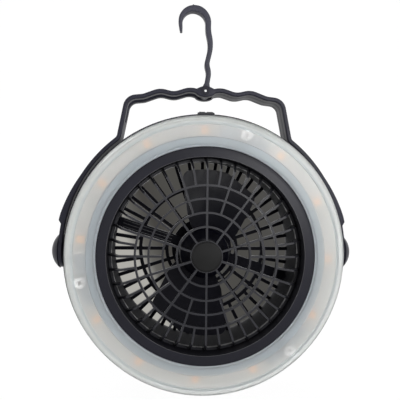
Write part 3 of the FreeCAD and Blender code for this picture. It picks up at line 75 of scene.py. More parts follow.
# Light ring and the tray behind it
LENS_INNER = 82.0
LENS_OUTER = 105.6
LENS_FACE = 62.2
LENS_BACK = 50.0
LENS_WALL = 2.0
LENS_LIP = 82.2
LENS_FOOT = 77.0
LENS_FOOT_DEPTH = 58.05
LENS_LEDGE_DEPTH = 60.05
BAND_FROM = 88.6
BAND_TO = 98.4
BAND_SINK = 0.5
POST_CIRCLE = 95.0
POST_ANGLES = (72, 192, 312)
POST_BORE = 1.3
POST_RADIUS = 4.5
POST_RIM = 4.0
POST_FACE = 61.3
POST_RIM_DEPTH = 61.55
RIB_FOOT_DEPTH = 60.0
TRAY_INNER = 76.0
TRAY_RIM = 99.0
TRAY_OUTER = 106.0

# Handle
PIVOT_DEPTH = 22.0
ARM_RADIUS = 113.6
ARM_SWEEP = 51.5
HANDLE_DEPTH = 22.0
HANDLE_THICKNESS = 3.4
RAIL_EDGE = 0.75
EAR_RADIUS = 13.4
EAR_BORE = 3.4
EAR_INNER = ARM_RADIUS - HANDLE_THICKNESS / 2
EAR_OUTER = ARM_RADIUS + HANDLE_THICKNESS / 2
SHOULDER_FROM = 21.5
SHOULDER_LEDGE = 2.5
SHOULDER_HOLD = 7.0
SHOULDER_TO = 60.0
SHOULDER_RISE = 2.3
PIN_HEIGHT = 129.0
PIN_BORE = 1.1
PIN_FLANGE = 0.55
BOSS_RADIUS = 4.4
BOSS_REACH = 7.4
BOSS_FADE = 5.0
BOSS_SOFTNESS = 0.9
SLOT_WIDTH = 8.6
SLOT_START = 4.6
SLOT_END = 104.6

# Hook
HOOK_CENTRE = -9.6
HOOK_BEND = 11.9
HOOK_BEND_HEIGHT = 186.0
HOOK_TIP_INSET = 1.8
HOOK_TIP_HEIGHT = 178.8
HOOK_WIDTH = 8.0
HOOK_TIP_WIDTH = 4.0
HOOK_EYE_RADIUS = 4.3
HOOK_THICKNESS = (
    (0, 8.6), (0.035, 7.0), (0.08, 4.0), (0.35, 4.0), (0.55, 4.5), (0.70, 5.4), (0.86, 4.0),
    (0.97, 2.6), (1.0, 1.8))
NIB_FOOT = (-10.6, 198.2)
NIB_TOP = (-9.9, 200.8)
NIB_WIDTH = 6.4

# Bezel and the rear grille's bar
BEZEL_INNER = 73.9
BEZEL_OUTER = 81.6
BEZEL_CREST = 62.5
BEZEL_FALL = 0.9
BEZEL_FACE_FROM = 61.3
# Depths over which the bezel's colour darkens into the tunnel's painted shade
TUNNEL_DARK_FROM = 61.9
TUNNEL_DARK_TO = 61.3
DUCT_ANGLE = 162.0
DUCT_FROM = 27.0
DUCT_TO = 70.0
DUCT_FACE = 10.0
RIDGE_HEIGHT = 0.45
RIDGE_HALF_WIDTH = 0.28
RIDGE_OFFSETS = (-2.9, -0.2, 2.5)

# Stage
# Painted shadow disc behind the fan: its radius, its depth and the turn of its shade gradient
SHADE_RADIUS = 77.0
SHADE_DEPTH = 1.5
SHADE_TURN = 26.0

# Grain and clouding of moulded plastic, in features per metre
CLOUD_SCALE = 28
GRAIN_SCALE = 2600

CREASE = 32


# Materials

def new_material(name):
    """An empty node material with a principled shader; gives the material, its nodes and a link function."""
    material = bpy.data.materials.new(name)
    material.use_nodes = True
    nodes = material.node_tree.nodes
    shader = nodes["Principled BSDF"]

    def link(output, socket):
        material.node_tree.links.new(output, socket)

    return material, nodes, shader, link


def object_noise(nodes, link, scale, detail=4.0, stretch=(1, 1, 1)):
    """Noise on object coordinates, stretched along the axes; scale is in features per metre."""
    place = nodes.new("ShaderNodeTexCoord")
    mapping = nodes.new("ShaderNodeMapping")
    mapping.inputs["Scale"].default_value = stretch
    noise = nodes.new("ShaderNodeTexNoise")
    noise.inputs["Scale"].default_value = scale
    noise.inputs["Detail"].default_value = detail
    link(place.outputs["Object"], mapping.inputs["Vector"])
    link(mapping.outputs["Vector"], noise.inputs["Vector"])
    return noise.outputs["Fac"]


def ramp(nodes, link, value, stops):
    """A colour ramp with stops of (position, colour)."""
    node = nodes.new("ShaderNodeValToRGB")
    while len(node.color_ramp.elements) < len(stops):
        node.color_ramp.elements.new(0.5)
    for element, (position, colour) in zip(node.color_ramp.elements, stops):
        element.position = position
        element.color = (*colour, 1.0)
    link(value, node.inputs["Fac"])
    return node.outputs["Color"]


def shade(colour, factor):
    return tuple(min(1.0, channel * factor) for channel in colour)


def roughness_from(nodes, link, shader, value, low, high):
    spread = nodes.new("ShaderNodeMapRange")
    spread.inputs["To Min"].default_value = low
    spread.inputs["To Max"].default_value = high
    link(value, spread.inputs["Value"])
    link(spread.outputs["Result"], shader.inputs["Roughness"])


def bump_from(nodes, link, shader, value, strength, distance):
    bump = nodes.new("ShaderNodeBump")
    bump.inputs["Strength"].default_value = strength
    bump.inputs["Distance"].default_value = distance
    link(value, bump.inputs["Height"])
    link(bump.outputs["Normal"], shader.inputs["Normal"])


def moulded_plastic(name, colour, roughness=0.4, grain=GRAIN_SCALE, relief=0.12, specular=0.16):
    """Moulded plastic: fine spark-eroded grain in the relief, slow cloudy change of colour and gloss."""
    material, nodes, shader, link = new_material(name)
    cloud = object_noise(nodes, link, CLOUD_SCALE, 3)
    fine = object_noise(nodes, link, grain, 2)
    link(ramp(nodes, link, cloud, [(0.3, shade(colour, 0.85)), (0.7, shade(colour, 1.18))]),
         shader.inputs["Base Color"])
    roughness_from(nodes, link, shader, cloud, roughness - 0.06, roughness + 0.08)
    bump_from(nodes, link, shader, fine, relief, 0.0001)
    shader.inputs["Specular IOR Level"].default_value = specular
    return material


def radius_of(nodes, link):
    """Distance from the fan's axis, from object coordinates."""
    place = nodes.new("ShaderNodeTexCoord")
    flat = nodes.new("ShaderNodeMapping")
    flat.inputs["Scale"].default_value = (1, 0, 1)
    reach = nodes.new("ShaderNodeVectorMath")
    reach.operation = "LENGTH"
    link(place.outputs["Object"], flat.inputs["Vector"])
    link(flat.outputs["Vector"], reach.inputs[0])
    return reach.outputs["Value"]


def tray_plastic(name, inner, outer):
    """The lamp tray: grey-blue where the lamps stand, pale on the rim outside them."""
    material, nodes, shader, link = new_material(name)
    spread = nodes.new("ShaderNodeMapRange")
    spread.inputs["From Min"].default_value = TRAY_INNER * MM
    spread.inputs["From Max"].default_value = TRAY_OUTER * MM
    link(radius_of(nodes, link), spread.inputs["Value"])
    rim = (TRAY_RIM - TRAY_INNER) / (TRAY_OUTER - TRAY_INNER)
    stops = [(0.0, inner), (rim - 0.05, inner), (rim + 0.05, outer)]
    link(ramp(nodes, link, spread.outputs["Result"], stops), shader.inputs["Base Color"])
    fine = object_noise(nodes, link, 1200, 2)
    roughness_from(nodes, link, shader, fine, 0.45, 0.6)
    bump_from(nodes, link, shader, fine, 0.05, 0.0001)
    return material


def bezel_plastic(name, face, tunnel):
    """The bezel's satin face turns into a duller air tunnel behind the face's inner edge, its colour
    darkening with depth into painted shade.
    """
    material, nodes, shader, link = new_material(name)
    place = nodes.new("ShaderNodeTexCoord")
    part = nodes.new("ShaderNodeSeparateXYZ")
    depth = nodes.new("ShaderNodeMapRange")
    depth.inputs["From Min"].default_value = -TUNNEL_DARK_FROM * MM
    depth.inputs["From Max"].default_value = -TUNNEL_DARK_TO * MM
    link(place.outputs["Object"], part.inputs["Vector"])
    link(part.outputs["Y"], depth.inputs["Value"])
    cloud = object_noise(nodes, link, CLOUD_SCALE, 3)
    fine = object_noise(nodes, link, GRAIN_SCALE, 2)
    satin = ramp(nodes, link, cloud, [(0.3, shade(face, 0.85)), (0.7, shade(face, 1.18))])
    # Painted shade: the darker colour of the air tunnel
    tunnel_shade = ramp(nodes, link, cloud, [(0.3, shade(tunnel, 0.85)), (0.7, shade(tunnel, 1.18))])
    mix = nodes.new("ShaderNodeMix")
    mix.data_type = "RGBA"
    link(depth.outputs["Result"], mix.inputs["Factor"])
    link(satin, mix.inputs["A"])
    link(tunnel_shade, mix.inputs["B"])
    link(mix.outputs["Result"], shader.inputs["Base Color"])
    roughness_from(nodes, link, shader, depth.outputs["Result"], 0.38, 0.8)
    bump_from(nodes, link, shader, fine, 0.12, 0.0001)
    shader.inputs["Specular IOR Level"].default_value = 0.19
    return material


def frosted_lens(name, clear, bands):
    """Frosted clear plastic whose tint changes over the radius; bands are stops of (radius in mm, tint)."""
    material, nodes, shader, link = new_material(name)
    cloud = object_noise(nodes, link, 16, 2)
    fine = object_noise(nodes, link, 1800, 2)
    spread = nodes.new("ShaderNodeMapRange")
    spread.inputs["From Min"].default_value = LENS_INNER * MM
    spread.inputs["From Max"].default_value = LENS_OUTER * MM
    link(radius_of(nodes, link), spread.inputs["Value"])
    stops = [((radius - LENS_INNER) / (LENS_OUTER - LENS_INNER), tint) for radius, tint in bands]
    link(ramp(nodes, link, spread.outputs["Result"], stops), shader.inputs["Base Color"])
    shader.inputs["Transmission Weight"].default_value = clear
    shader.inputs["IOR"].default_value = 1.33
    roughness_from(nodes, link, shader, cloud, 0.32, 0.38)
    bump_from(nodes, link, shader, fine, 0.05, 0.0001)
    return material


def brushed_metal(name, colour, roughness=0.32, stretch=(1, 40, 1)):
    """Metal with fine drawn lines along one axis and a slow tarnish."""
    material, nodes, shader, link = new_material(name)
    lines = object_noise(nodes, link, 420, 3, stretch)
    tarnish = object_noise(nodes, link, 60, 3)
    link(ramp(nodes, link, tarnish, [(0.35, shade(colour, 0.82)), (0.7, colour)]),
         shader.inputs["Base Color"])
    shader.inputs["Metallic"].default_value = 1.0
    roughness_from(nodes, link, shader, lines, roughness - 0.08, roughness + 0.12)
    bump_from(nodes, link, shader, lines, 0.08, 0.0001)
    return material


def soft_rubber(name, colour):
    """Dull rubber or wire covering with a fine uneven surface."""
    material, nodes, shader, link = new_material(name)
    fine = object_noise(nodes, link, 1500, 3)
    cloud = object_noise(nodes, link, 50, 2)
    link(ramp(nodes, link, cloud, [(0.3, shade(colour, 0.8)), (0.7, shade(colour, 1.2))]),
         shader.inputs["Base Color"])
    roughness_from(nodes, link, shader, fine, 0.62, 0.82)
    bump_from(nodes, link, shader, fine, 0.15, 0.0001)
    return material


def lamp_material(name):
    """A lamp: warm phosphor, mottled between two shades of orange."""
    material, nodes, shader, link = new_material(name)
    spots = object_noise(nodes, link, 900, 2)
    link(ramp(nodes, link, spots, [(0.35, (0.92, 0.42, 0.16)), (0.65, (0.96, 0.54, 0.26))]),
         shader.inputs["Base Color"])
    roughness_from(nodes, link, shader, spots, 0.25, 0.4)
    return material


# Tint of the lens over its radius: clear inner rim, warm band over the lamp strips, cool gap, clear outer
# rim. The lighter band and outer rim are partly painted light, brightening the lens where the lamp strips and
# its rounded outer corner catch the light.
RIM_TINT = (0.85, 0.89, 0.905)
STRIP_TINT = (0.94, 0.935, 0.92)
GAP_TINT = (0.84, 0.88, 0.89)
OUTER_TINT = (0.91, 0.93, 0.915)
WHITE = (1.0, 1.0, 1.0)
LENS_BANDS = [
    (82.0, RIM_TINT), (88.4, RIM_TINT), (89.0, STRIP_TINT), (97.8, STRIP_TINT),
    (98.3, GAP_TINT), (99.8, GAP_TINT), (100.6, OUTER_TINT)]
# Opaque finish of the posts and the outer rib: darker towards the axis, near white towards the outer edge,
# where on the rib it paints a highlight line
POST_BANDS = [(LENS_INNER, (0.23, 0.25, 0.26)), (LENS_OUTER, WHITE)]
LIP_BANDS = [(LENS_INNER, (0.55, 0.58, 0.61)), (LENS_OUTER, WHITE)]

MATERIALS = {
    "rear_housing": lambda: moulded_plastic("housing_black", (0.014, 0.014, 0.019), 0.45),
    "rear_grille": lambda: moulded_plastic("rear_grille_black", (0.003, 0.003, 0.006), 0.5, specular=0.06),
    # Duct ridges: glossy and paler than the bar, partly painted highlight lines
    "duct_ridges": lambda: moulded_plastic("ridge_black", (0.03, 0.03, 0.035), 0.22, 1500, 0.03, 0.8),
    # Bezel edge: paler than the bezel, painting the highlight line round its opening
    "bezel_edge": lambda: moulded_plastic("bezel_edge_black", (0.045, 0.045, 0.05), 0.34, 1500, 0.03, 0.3),
    # The bezel's second colour is painted shade down the air tunnel
    "front_bezel": lambda: bezel_plastic("bezel_black", (0.007, 0.007, 0.012), (0.002, 0.002, 0.005)),
    "front_grille": lambda: moulded_plastic("front_grille_black", (0.016, 0.016, 0.020), 0.34, specular=0.22),
    "grille_cap": lambda: moulded_plastic("cap_black", (0.006, 0.006, 0.006), 0.42, 1800, 0.06, 0.12),
    "light_ring": lambda: frosted_lens("frosted_lens", 0.84, LENS_BANDS),
    "lens_posts": lambda: frosted_lens("post_frosted", 0.0, POST_BANDS),
    "lens_lip": lambda: frosted_lens("lip_frosted", 0.3, LIP_BANDS),
    "light_tray": lambda: tray_plastic("tray_white", (0.17, 0.215, 0.26), (0.62, 0.62, 0.60)),
    "lamp_strips": lambda: moulded_plastic("strip_white", (0.44, 0.43, 0.415), 0.42, 900, 0.05),
    "lamps": lambda: lamp_material("lamp_warm"),
    "lamp_link_wires": lambda: soft_rubber("link_wire_white", (0.75, 0.76, 0.75)),
    "motor": lambda: brushed_metal("motor_steel", (0.50, 0.50, 0.52)),
    "motor_bush": lambda: brushed_metal("bush_bronze", (0.62, 0.42, 0.22)),
    "motor_shaft": lambda: brushed_metal("shaft_steel", (0.70, 0.70, 0.70), 0.22),
    "motor_leads": lambda: soft_rubber("lead_dark", (0.05, 0.02, 0.02)),
    "fan_rotor": lambda: moulded_plastic("rotor_black", (0.003, 0.003, 0.006), 0.36, 1500, 0.05, 0.1),
    "handle": lambda: moulded_plastic("handle_black", (0.016, 0.016, 0.026), 0.42),
    "hook": lambda: moulded_plastic("hook_black", (0.040, 0.040, 0.054), 0.40),
    "hook_pin": lambda: brushed_metal("pin_dark_steel", (0.018, 0.018, 0.022)),
    # Painted highlight: the near-white spot at the hook pin's centre
    "pin_light_spot": lambda: moulded_plastic("pin_light_spot_pale", (0.86, 0.87, 0.88), 0.2, 900, 0.03, 0.6),
    "pivot_cap_left": lambda: moulded_plastic("cap_dome_black", (0.020, 0.020, 0.028), 0.38),
    # Keys: glossy, with a colour lifted above the frame's, partly to paint the glints on them
    "fan_key": lambda: moulded_plastic("key_black", (0.05, 0.05, 0.055), 0.28, 1500, 0.04, 0.6),
    "key_frame": lambda: moulded_plastic("key_frame_black", (0.025, 0.025, 0.028), 0.36),
    "control_board": lambda: moulded_plastic("board_green", (0.03, 0.16, 0.07), 0.4, 800, 0.08),
    "push_switches": lambda: moulded_plastic("switch_black", (0.03, 0.03, 0.03), 0.35),
    "charge_port": lambda: brushed_metal("port_steel", (0.62, 0.62, 0.64), 0.25),
    "battery_cells": lambda: moulded_plastic("cell_wrap_blue", (0.04, 0.16, 0.40), 0.25, 600, 0.03, 0.6),
    "battery_contacts": lambda: brushed_metal("contact_nickel", (0.72, 0.71, 0.68), 0.25),
    "battery_saddles": lambda: moulded_plastic("saddle_black", (0.04, 0.04, 0.04), 0.5),
    "housing_screws": lambda: brushed_metal("screw_zinc", (0.58, 0.58, 0.58), 0.3),
    "pivot_sleeves": lambda: moulded_plastic("sleeve_ivory", (0.74, 0.73, 0.68), 0.3, 900, 0.04),
    "pivot_washers": lambda: soft_rubber("washer_black", (0.03, 0.03, 0.03)),
}
SAME_FINISH = {
    "pivot_cap_right": "pivot_cap_left", "light_key": "fan_key", "light_ring_screws": "housing_screws",
    "motor_screws": "housing_screws", "pivot_screws": "housing_screws"}
made = {}


def finish_of(node):
    """The material of a node or of a finish by name, made once."""
    node = SAME_FINISH.get(node, node)
    if node not in made:
        made[node] = MATERIALS[node]()
    return made[node]


# Meshes

def add_piece(name, mesh, node, stands_for=(), finish=None):
    """A finished piece that rides with a CAD node's body and has its finish, or another one by name."""
    piece = bpy.data.objects.new(name, mesh)
    bpy.context.scene.collection.objects.link(piece)
    mesh.materials.clear()
    mesh.materials.append(finish_of(finish or node))
    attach(piece, BODY_OF[node])
    if stands_for:
        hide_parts(*stands_for)
    return piece


def slope_bezel(work):
    """Turn the bezel's crowned face into a plain cone that falls from its inner edge to its outer edge.

    A face vertex at radius r gets the depth BEZEL_CREST - BEZEL_FALL (r - r_in) / (r_out - r_in).
    """
    for vertex in work.verts:
        radius = math.hypot(vertex.co.x, vertex.co.z) / MM
        depth = -vertex.co.y / MM
        if depth < BEZEL_FACE_FROM or radius > BEZEL_OUTER - 0.4:
            continue
        share = (radius - BEZEL_INNER) / (BEZEL_OUTER - BEZEL_INNER)
        vertex.co.y = -(BEZEL_CREST - BEZEL_FALL * share) * MM


def refined(node, name, bevel=0.0, change=None):
    """A merged copy of a CAD node with smooth shading and, if asked, softened edges or a changed face."""
    work = bmesh.new()
    work.from_mesh(NODES[node].data)
    bmesh.ops.remove_doubles(work, verts=work.verts, dist=2e-6)
    if change:
        change(work)
    if bevel:
        bmesh.ops.dissolve_limit(work, angle_limit=math.radians(0.5), verts=work.verts, edges=work.edges)
    mark_sharp(work)
    mesh = bpy.data.meshes.new(name)
    work.to_mesh(mesh)
    work.free()
    piece = add_piece(name, mesh, node, (node,))
    if bevel:
        soften = piece.modifiers.new("soft_edges", "BEVEL")
        soften.width = bevel
        soften.segments = 2
        soften.limit_method = "ANGLE"
        soften.angle_limit = math.radians(CREASE)
        soften.harden_normals = False
        weighted(piece)
    return piece


def round_corners(corners, radii, steps=6):
    """A closed outline whose corners are replaced by arcs tangent to both sides.

    The arc of a corner has its centre on the corner's bisector; its points lie at equal angles.
    """
    points = []
    count = len(corners)
    for index in range(count):
        corner = np.array(corners[index], float)
        before = np.array(corners[index - 1], float)
        after = np.array(corners[(index + 1) % count], float)
        inward = (corner - before) / np.linalg.norm(corner - before)
        outward = (after - corner) / np.linalg.norm(after - corner)
        turn = math.acos(float(np.clip(inward @ outward, -1, 1)))
        radius = radii[index]
        if radius <= 0 or turn < 1e-3:
            points.append(corner[None, :])
            continue
        reach = radius * math.tan(turn / 2)
        centre = corner + (outward - inward) / np.linalg.norm(outward - inward) * radius / math.cos(turn / 2)
        start = corner - inward * reach - centre
        end = corner + outward * reach - centre
        share = np.linspace(0, 1, steps + 1)[:, None]
        arc = (np.sin((1 - share) * turn) * start + np.sin(share * turn) * end) / math.sin(turn)
        points.append(centre + arc)
    return np.concatenate(points)


def ring_mesh(name, outline, steps=288):
    """A closed outline of (radius, depth) in millimetres turned about the fan's axis.

    Point (i, j) of the grid is (r_j cos a_i, -d_j, r_j sin a_i), with a_i evenly round the circle.
    """
    outline = np.asarray(outline) * MM
    angle = np.linspace(0, 2 * math.pi, steps, endpoint=False)[:, None]
    radius, depth = outline[None, :, 0], outline[None, :, 1]
    grid = np.stack([radius * np.cos(angle), -depth + 0 * angle, radius * np.sin(angle)], axis=-1)
    return grid_mesh(name, grid, True, True)


def grid_mesh(name, grid, closed_rows, closed_columns, capped=False):
    """A mesh of quads over a grid of points; rows and columns may close, and end rows may be capped."""
    rows, columns = grid.shape[:2]
    index = np.arange(rows * columns).reshape(rows, columns)
    down = np.roll(index, -1, axis=0) if closed_rows else index[1:]
    here = index if closed_rows else index[:-1]
    quads = np.stack([here, down, np.roll(down, -1, axis=1), np.roll(here, -1, axis=1)], axis=-1)
    if not closed_columns:
        quads = quads[:, :-1]
    mesh = bpy.data.meshes.new(name)
    ends = [index[0].tolist(), index[-1][::-1].tolist()] if capped else []
    mesh.from_pydata(grid.reshape(-1, 3).tolist(), [], quads.reshape(-1, 4).tolist() + ends)
    work = bmesh.new()
    work.from_mesh(mesh)
    bmesh.ops.recalc_face_normals(work, faces=work.faces)
    for face in work.faces:
        face.smooth = True
    work.to_mesh(mesh)
    work.free()
    return mesh


def weighted(piece):
    """Keep broad faces flat next to narrow rounded edges."""
    modifier = piece.modifiers.new("flat_faces", "WEIGHTED_NORMAL")
    modifier.keep_sharp = True


# Handle and hook

def even_path(corners, radii, spacing=0.8):
    """A rounded path as evenly spaced points (X, Z), with the unit normal on its left at each point."""
    points = round_corners(corners, radii, 24)
    step = np.linalg.norm(np.diff(points, axis=0), axis=1)
    keep = np.concatenate([[True], step > 1e-6])
    points = points[keep]
    reach = np.concatenate([[0], np.cumsum(np.linalg.norm(np.diff(points, axis=0), axis=1))])
    place = np.linspace(0, reach[-1], int(reach[-1] / spacing))
    line = np.stack([np.interp(place, reach, points[:, 0]), np.interp(place, reach, points[:, 1])], axis=1)
    along = np.gradient(line, axis=0)
    along /= np.linalg.norm(along, axis=1)[:, None]
    return line, np.stack([-along[:, 1], along[:, 0]], axis=1)


def swept_bar(name, line, normal, outer, inner, front, back, edge):
    """A bar along a path: at each point a rectangle of offsets and depths with corners rounded by a radius.

    The rectangle reaches from inner to outer along the path's normal and from back to front in depth.
    """
    count = len(line)
    values = (outer, inner, front, back, edge)
    outer, inner, front, back, edge = (np.broadcast_to(value, count) for value in values)
    turn = np.radians(np.linspace(0, 90, 4))
    offsets, depths = [], []
    for start, side, face in ((0, 1, 1), (90, -1, 1), (180, -1, -1), (270, 1, -1)):
        middle_offset = np.where(side > 0, outer - edge, inner + edge)
        middle_depth = np.where(face > 0, front - edge, back + edge)
        angle = np.radians(start) + turn
        offsets.append(middle_offset[:, None] + edge[:, None] * np.cos(angle))
        depths.append(middle_depth[:, None] + edge[:, None] * np.sin(angle))
    offset, depth = np.concatenate(offsets, axis=1), np.concatenate(depths, axis=1)
    grid = np.stack([
        line[:, :1] + normal[:, :1] * offset, -depth, line[:, 1:] + normal[:, 1:] * offset], axis=-1) * MM
    return grid_mesh(name, grid, False, True, capped=True)


def turned_on_pivot(name, side, profile, steps=96):
    """A profile of (distance from the middle, radius) turned about the handle's pivot axis, on one side."""
    profile = np.asarray(profile) * MM
    angle = np.linspace(0, 2 * math.pi, steps, endpoint=False)[:, None]
    grid = np.stack([
        side * profile[None, :, 0] + 0 * angle,
        -PIVOT_DEPTH * MM + profile[None, :, 1] * np.cos(angle),
        profile[None, :, 1] * np.sin(angle)], axis=-1)
    return grid_mesh(name, grid, True, True)


def joined(name, meshes):
    """Several closed meshes as one, with sharp edges marked where faces meet steeply."""
    work = bmesh.new()
    for mesh in meshes:
        work.from_mesh(mesh)
        bpy.data.meshes.remove(mesh)
    mark_sharp(work)
    whole = bpy.data.meshes.new(name)
    work.to_mesh(whole)
    work.free()
    return whole


def mark_sharp(work):
    """Smooth faces, with edges sharp where two faces meet at more than the crease angle."""
    for face in work.faces:
        face.smooth = True
    for edge in work.edges:
        edge.smooth = not (edge.is_manifold and edge.calc_face_angle(0) > math.radians(CREASE))


def handle_line():
    """The handle's middle line: an arc up each side, a straight leg to the top, and waves towards the pin."""
    sweep = math.radians(ARM_SWEEP)
    leg = 2.5
    bend_start = (ARM_RADIUS * math.cos(sweep) - leg * math.sin(sweep),
                  ARM_RADIUS * math.sin(sweep) + leg * math.cos(sweep))
    waves = [(62.4, -6.4), (49.5, -5.0), (36.5, -0.1), (25.0, -2.8), (12.5, 1.3)]
    half = [(ARM_RADIUS, 0), (ARM_RADIUS, ARM_RADIUS * math.tan(sweep / 2)), bend_start]
    half += [(across, PIN_HEIGHT + rise) for across, rise in waves]
    radii = [0, ARM_RADIUS, 6, 9, 14, 14, 14, 14]
    left = [(-across, up) for across, up in half]
    return even_path(left + [(0, PIN_HEIGHT - 1.8)] + half[::-1], radii + [14] + radii[::-1])


def swollen_faces(line):
    """Offsets of the strap's outer and inner face along its line, swollen round the pin and above the ears.

    Near the pin each face is the smooth greater of the strap's own offset and that of the boss's outline,
    s log(exp(half / s) + exp(boss / s)), so that the boss grows out of the strap without an edge.
    """
    half = HANDLE_THICKNESS / 2
    reach = BOSS_REACH + BOSS_FADE
    across, up = line[:, 0], line[:, 1]
    near = BOSS_RADIUS * np.clip(1 - (across / BOSS_REACH) ** 2, 0, None) ** 0.5
    fade = np.clip((reach - np.abs(across)) / BOSS_FADE, 0, 1)

    def swollen(boss):
        boss = np.where(near > 0, boss, 0)
        greater = BOSS_SOFTNESS * np.logaddexp(half / BOSS_SOFTNESS, boss / BOSS_SOFTNESS)
        return half + (np.where(np.abs(across) < reach, greater, half) - half) * fade

    heights = [SHOULDER_FROM, SHOULDER_FROM + SHOULDER_LEDGE, SHOULDER_FROM + SHOULDER_HOLD, SHOULDER_TO]
    shoulder = np.interp(up, heights, [0, 1, 1, 0])
    outer = swollen(PIN_HEIGHT + near - up) + SHOULDER_RISE * shoulder
    inner = -swollen(up - (PIN_HEIGHT - near))
    return outer, inner


def make_handle():
    """The bent strap with a boss at the hook's pin, a slot for the folded hook, and a disc at each end."""
    line, normal = handle_line()
    outer, inner = swollen_faces(line)
    front, back = PIVOT_DEPTH + HANDLE_DEPTH / 2, PIVOT_DEPTH - HANDLE_DEPTH / 2
    slot_front, slot_back = PIVOT_DEPTH + SLOT_WIDTH / 2, PIVOT_DEPTH - SLOT_WIDTH / 2
    bars = [swept_bar("front_rail", line, normal, outer, inner, front, slot_front, RAIL_EDGE),
            swept_bar("rear_rail", line, normal, outer, inner, slot_back, back, RAIL_EDGE)]
    overlap = 0.8
    right = line[:, 0] > SLOT_START
    lower_left = (line[:, 0] < 0) & (line[:, 1] < SLOT_END)
    for part in (right, lower_left):
        bars.append(swept_bar("bridge", line[part], normal[part], outer[part], inner[part],
                              slot_front + overlap, slot_back - overlap, 0.05))
    disc = round_corners(
        [(EAR_INNER, EAR_BORE), (EAR_INNER, EAR_RADIUS), (EAR_OUTER, EAR_RADIUS), (EAR_OUTER, EAR_BORE)],
        [0.2, 0.5, 0.9, 0.2])
    for side in (-1, 1):
        bars.append(turned_on_pivot("ear", side, disc))
    add_piece("handle_strap", joined("handle_strap", bars), "handle", ("handle",))


def make_hook():
    """The hook: a flat bar on a waved line, thickest over its crown and thinning to a blunt tip."""
    front_side, tip_side = HOOK_CENTRE + HOOK_BEND, HOOK_CENTRE - HOOK_BEND
    top = HOOK_BEND_HEIGHT + HOOK_BEND
    line, normal = even_path(
        [(0.3, PIN_HEIGHT), (3.2, PIN_HEIGHT + 16.5), (1.3, PIN_HEIGHT + 23.5), (4.9, PIN_HEIGHT + 39.0),
         (front_side, PIN_HEIGHT + 51.0), (front_side, top), (tip_side, top),
         (tip_side + HOOK_TIP_INSET, HOOK_TIP_HEIGHT)],
        [0, 15, 11, 30, 30, HOOK_BEND, HOOK_BEND * 0.92, 0], 0.6)
    share = np.linspace(0, 1, len(line))
    thick = np.interp(share, *zip(*HOOK_THICKNESS))
    wide = np.interp(share, [0, 0.80, 0.95, 1.0], [HOOK_WIDTH, HOOK_WIDTH, 6.0, HOOK_TIP_WIDTH])
    edge = np.interp(share, [0, 0.9, 1.0], [0.95, 0.95, 0.7])
    bar = swept_bar("hook_bar", line, normal, thick / 2, -thick / 2,
                    PIVOT_DEPTH + wide / 2, PIVOT_DEPTH - wide / 2, edge)
    front, back = PIVOT_DEPTH + HOOK_WIDTH / 2, PIVOT_DEPTH - HOOK_WIDTH / 2
    outline = round_corners(
        [(0, back), (HOOK_EYE_RADIUS, back), (HOOK_EYE_RADIUS, front), (0, front)], [0, 0.6, 0.6, 0])
    eye = post_mesh("hook_eye", [(0, PIN_HEIGHT)], outline, 64)
    nib_line, nib_normal = even_path([NIB_FOOT, NIB_TOP], [0, 0], 0.3)
    nib = swept_bar("hook_nib", nib_line, nib_normal,
                    np.linspace(1.7, 0.5, len(nib_line)), -np.linspace(1.9, 0.5, len(nib_line)),
                    PIVOT_DEPTH + NIB_WIDTH / 2, PIVOT_DEPTH - NIB_WIDTH / 2, 0.3)
    add_piece("hook_bar", joined("hook_bar", [bar, eye, nib]), "hook", ("hook",))


def make_pin_light_spot():
    """A near-white rod through the hook's pin with slightly domed ends, whose pale colour paints the bright
    spot of light at the pin's centre.
    """
    front = PIVOT_DEPTH + HANDLE_DEPTH / 2 + PIN_FLANGE
    back = PIVOT_DEPTH - HANDLE_DEPTH / 2 - PIN_FLANGE
    outline = [(0, back), (0.6, back + 0.05), (PIN_BORE, back + 0.35), (PIN_BORE, front - 0.35),
               (0.6, front - 0.05), (0, front)]
    mesh = post_mesh("pin_light_spot", [(0, PIN_HEIGHT)], outline, 32)
    add_piece("pin_light_spot", mesh, "hook_pin", finish="pin_light_spot")


# Rear grille's bar and the bezel

def make_duct_ridges():
    """The three low glossy ridges along the front of the bar that holds the motor's leads, paler than the bar
    to paint highlight lines along it.
    """
    turn = math.radians(DUCT_ANGLE)
    along = np.array([math.cos(turn), math.sin(turn)])
    across = np.array([-along[1], along[0]])
    ridges = []
    for offset in RIDGE_OFFSETS:
        corners = [tuple(along * reach + across * offset) for reach in (DUCT_FROM, DUCT_TO)]
        line, normal = even_path(corners, [0, 0], 1.0)
        ridges.append(swept_bar("duct_ridge", line, normal, RIDGE_HALF_WIDTH, -RIDGE_HALF_WIDTH,
                                DUCT_FACE + RIDGE_HEIGHT, DUCT_FACE - 0.1, 0.2))
    add_piece("duct_ridges", joined("duct_ridges", ridges), "rear_grille", finish="duct_ridges")


def make_bezel_edge():
    """The narrow glossy edge round the bezel's opening, paler than the bezel: partly a painted highlight
    line.
    """
    inner, outer = BEZEL_INNER - 0.1, BEZEL_INNER + 0.2
    low, high = BEZEL_CREST - 0.35, BEZEL_CREST + 0.06
    outline = round_corners(
        [(inner, low), (outer, low), (outer, high), (inner, high)], [0.05, 0.05, 0.1, 0.1], 3)
    add_piece("bezel_edge", ring_mesh("bezel_edge", outline), "front_bezel", finish="bezel_edge")


# Light ring

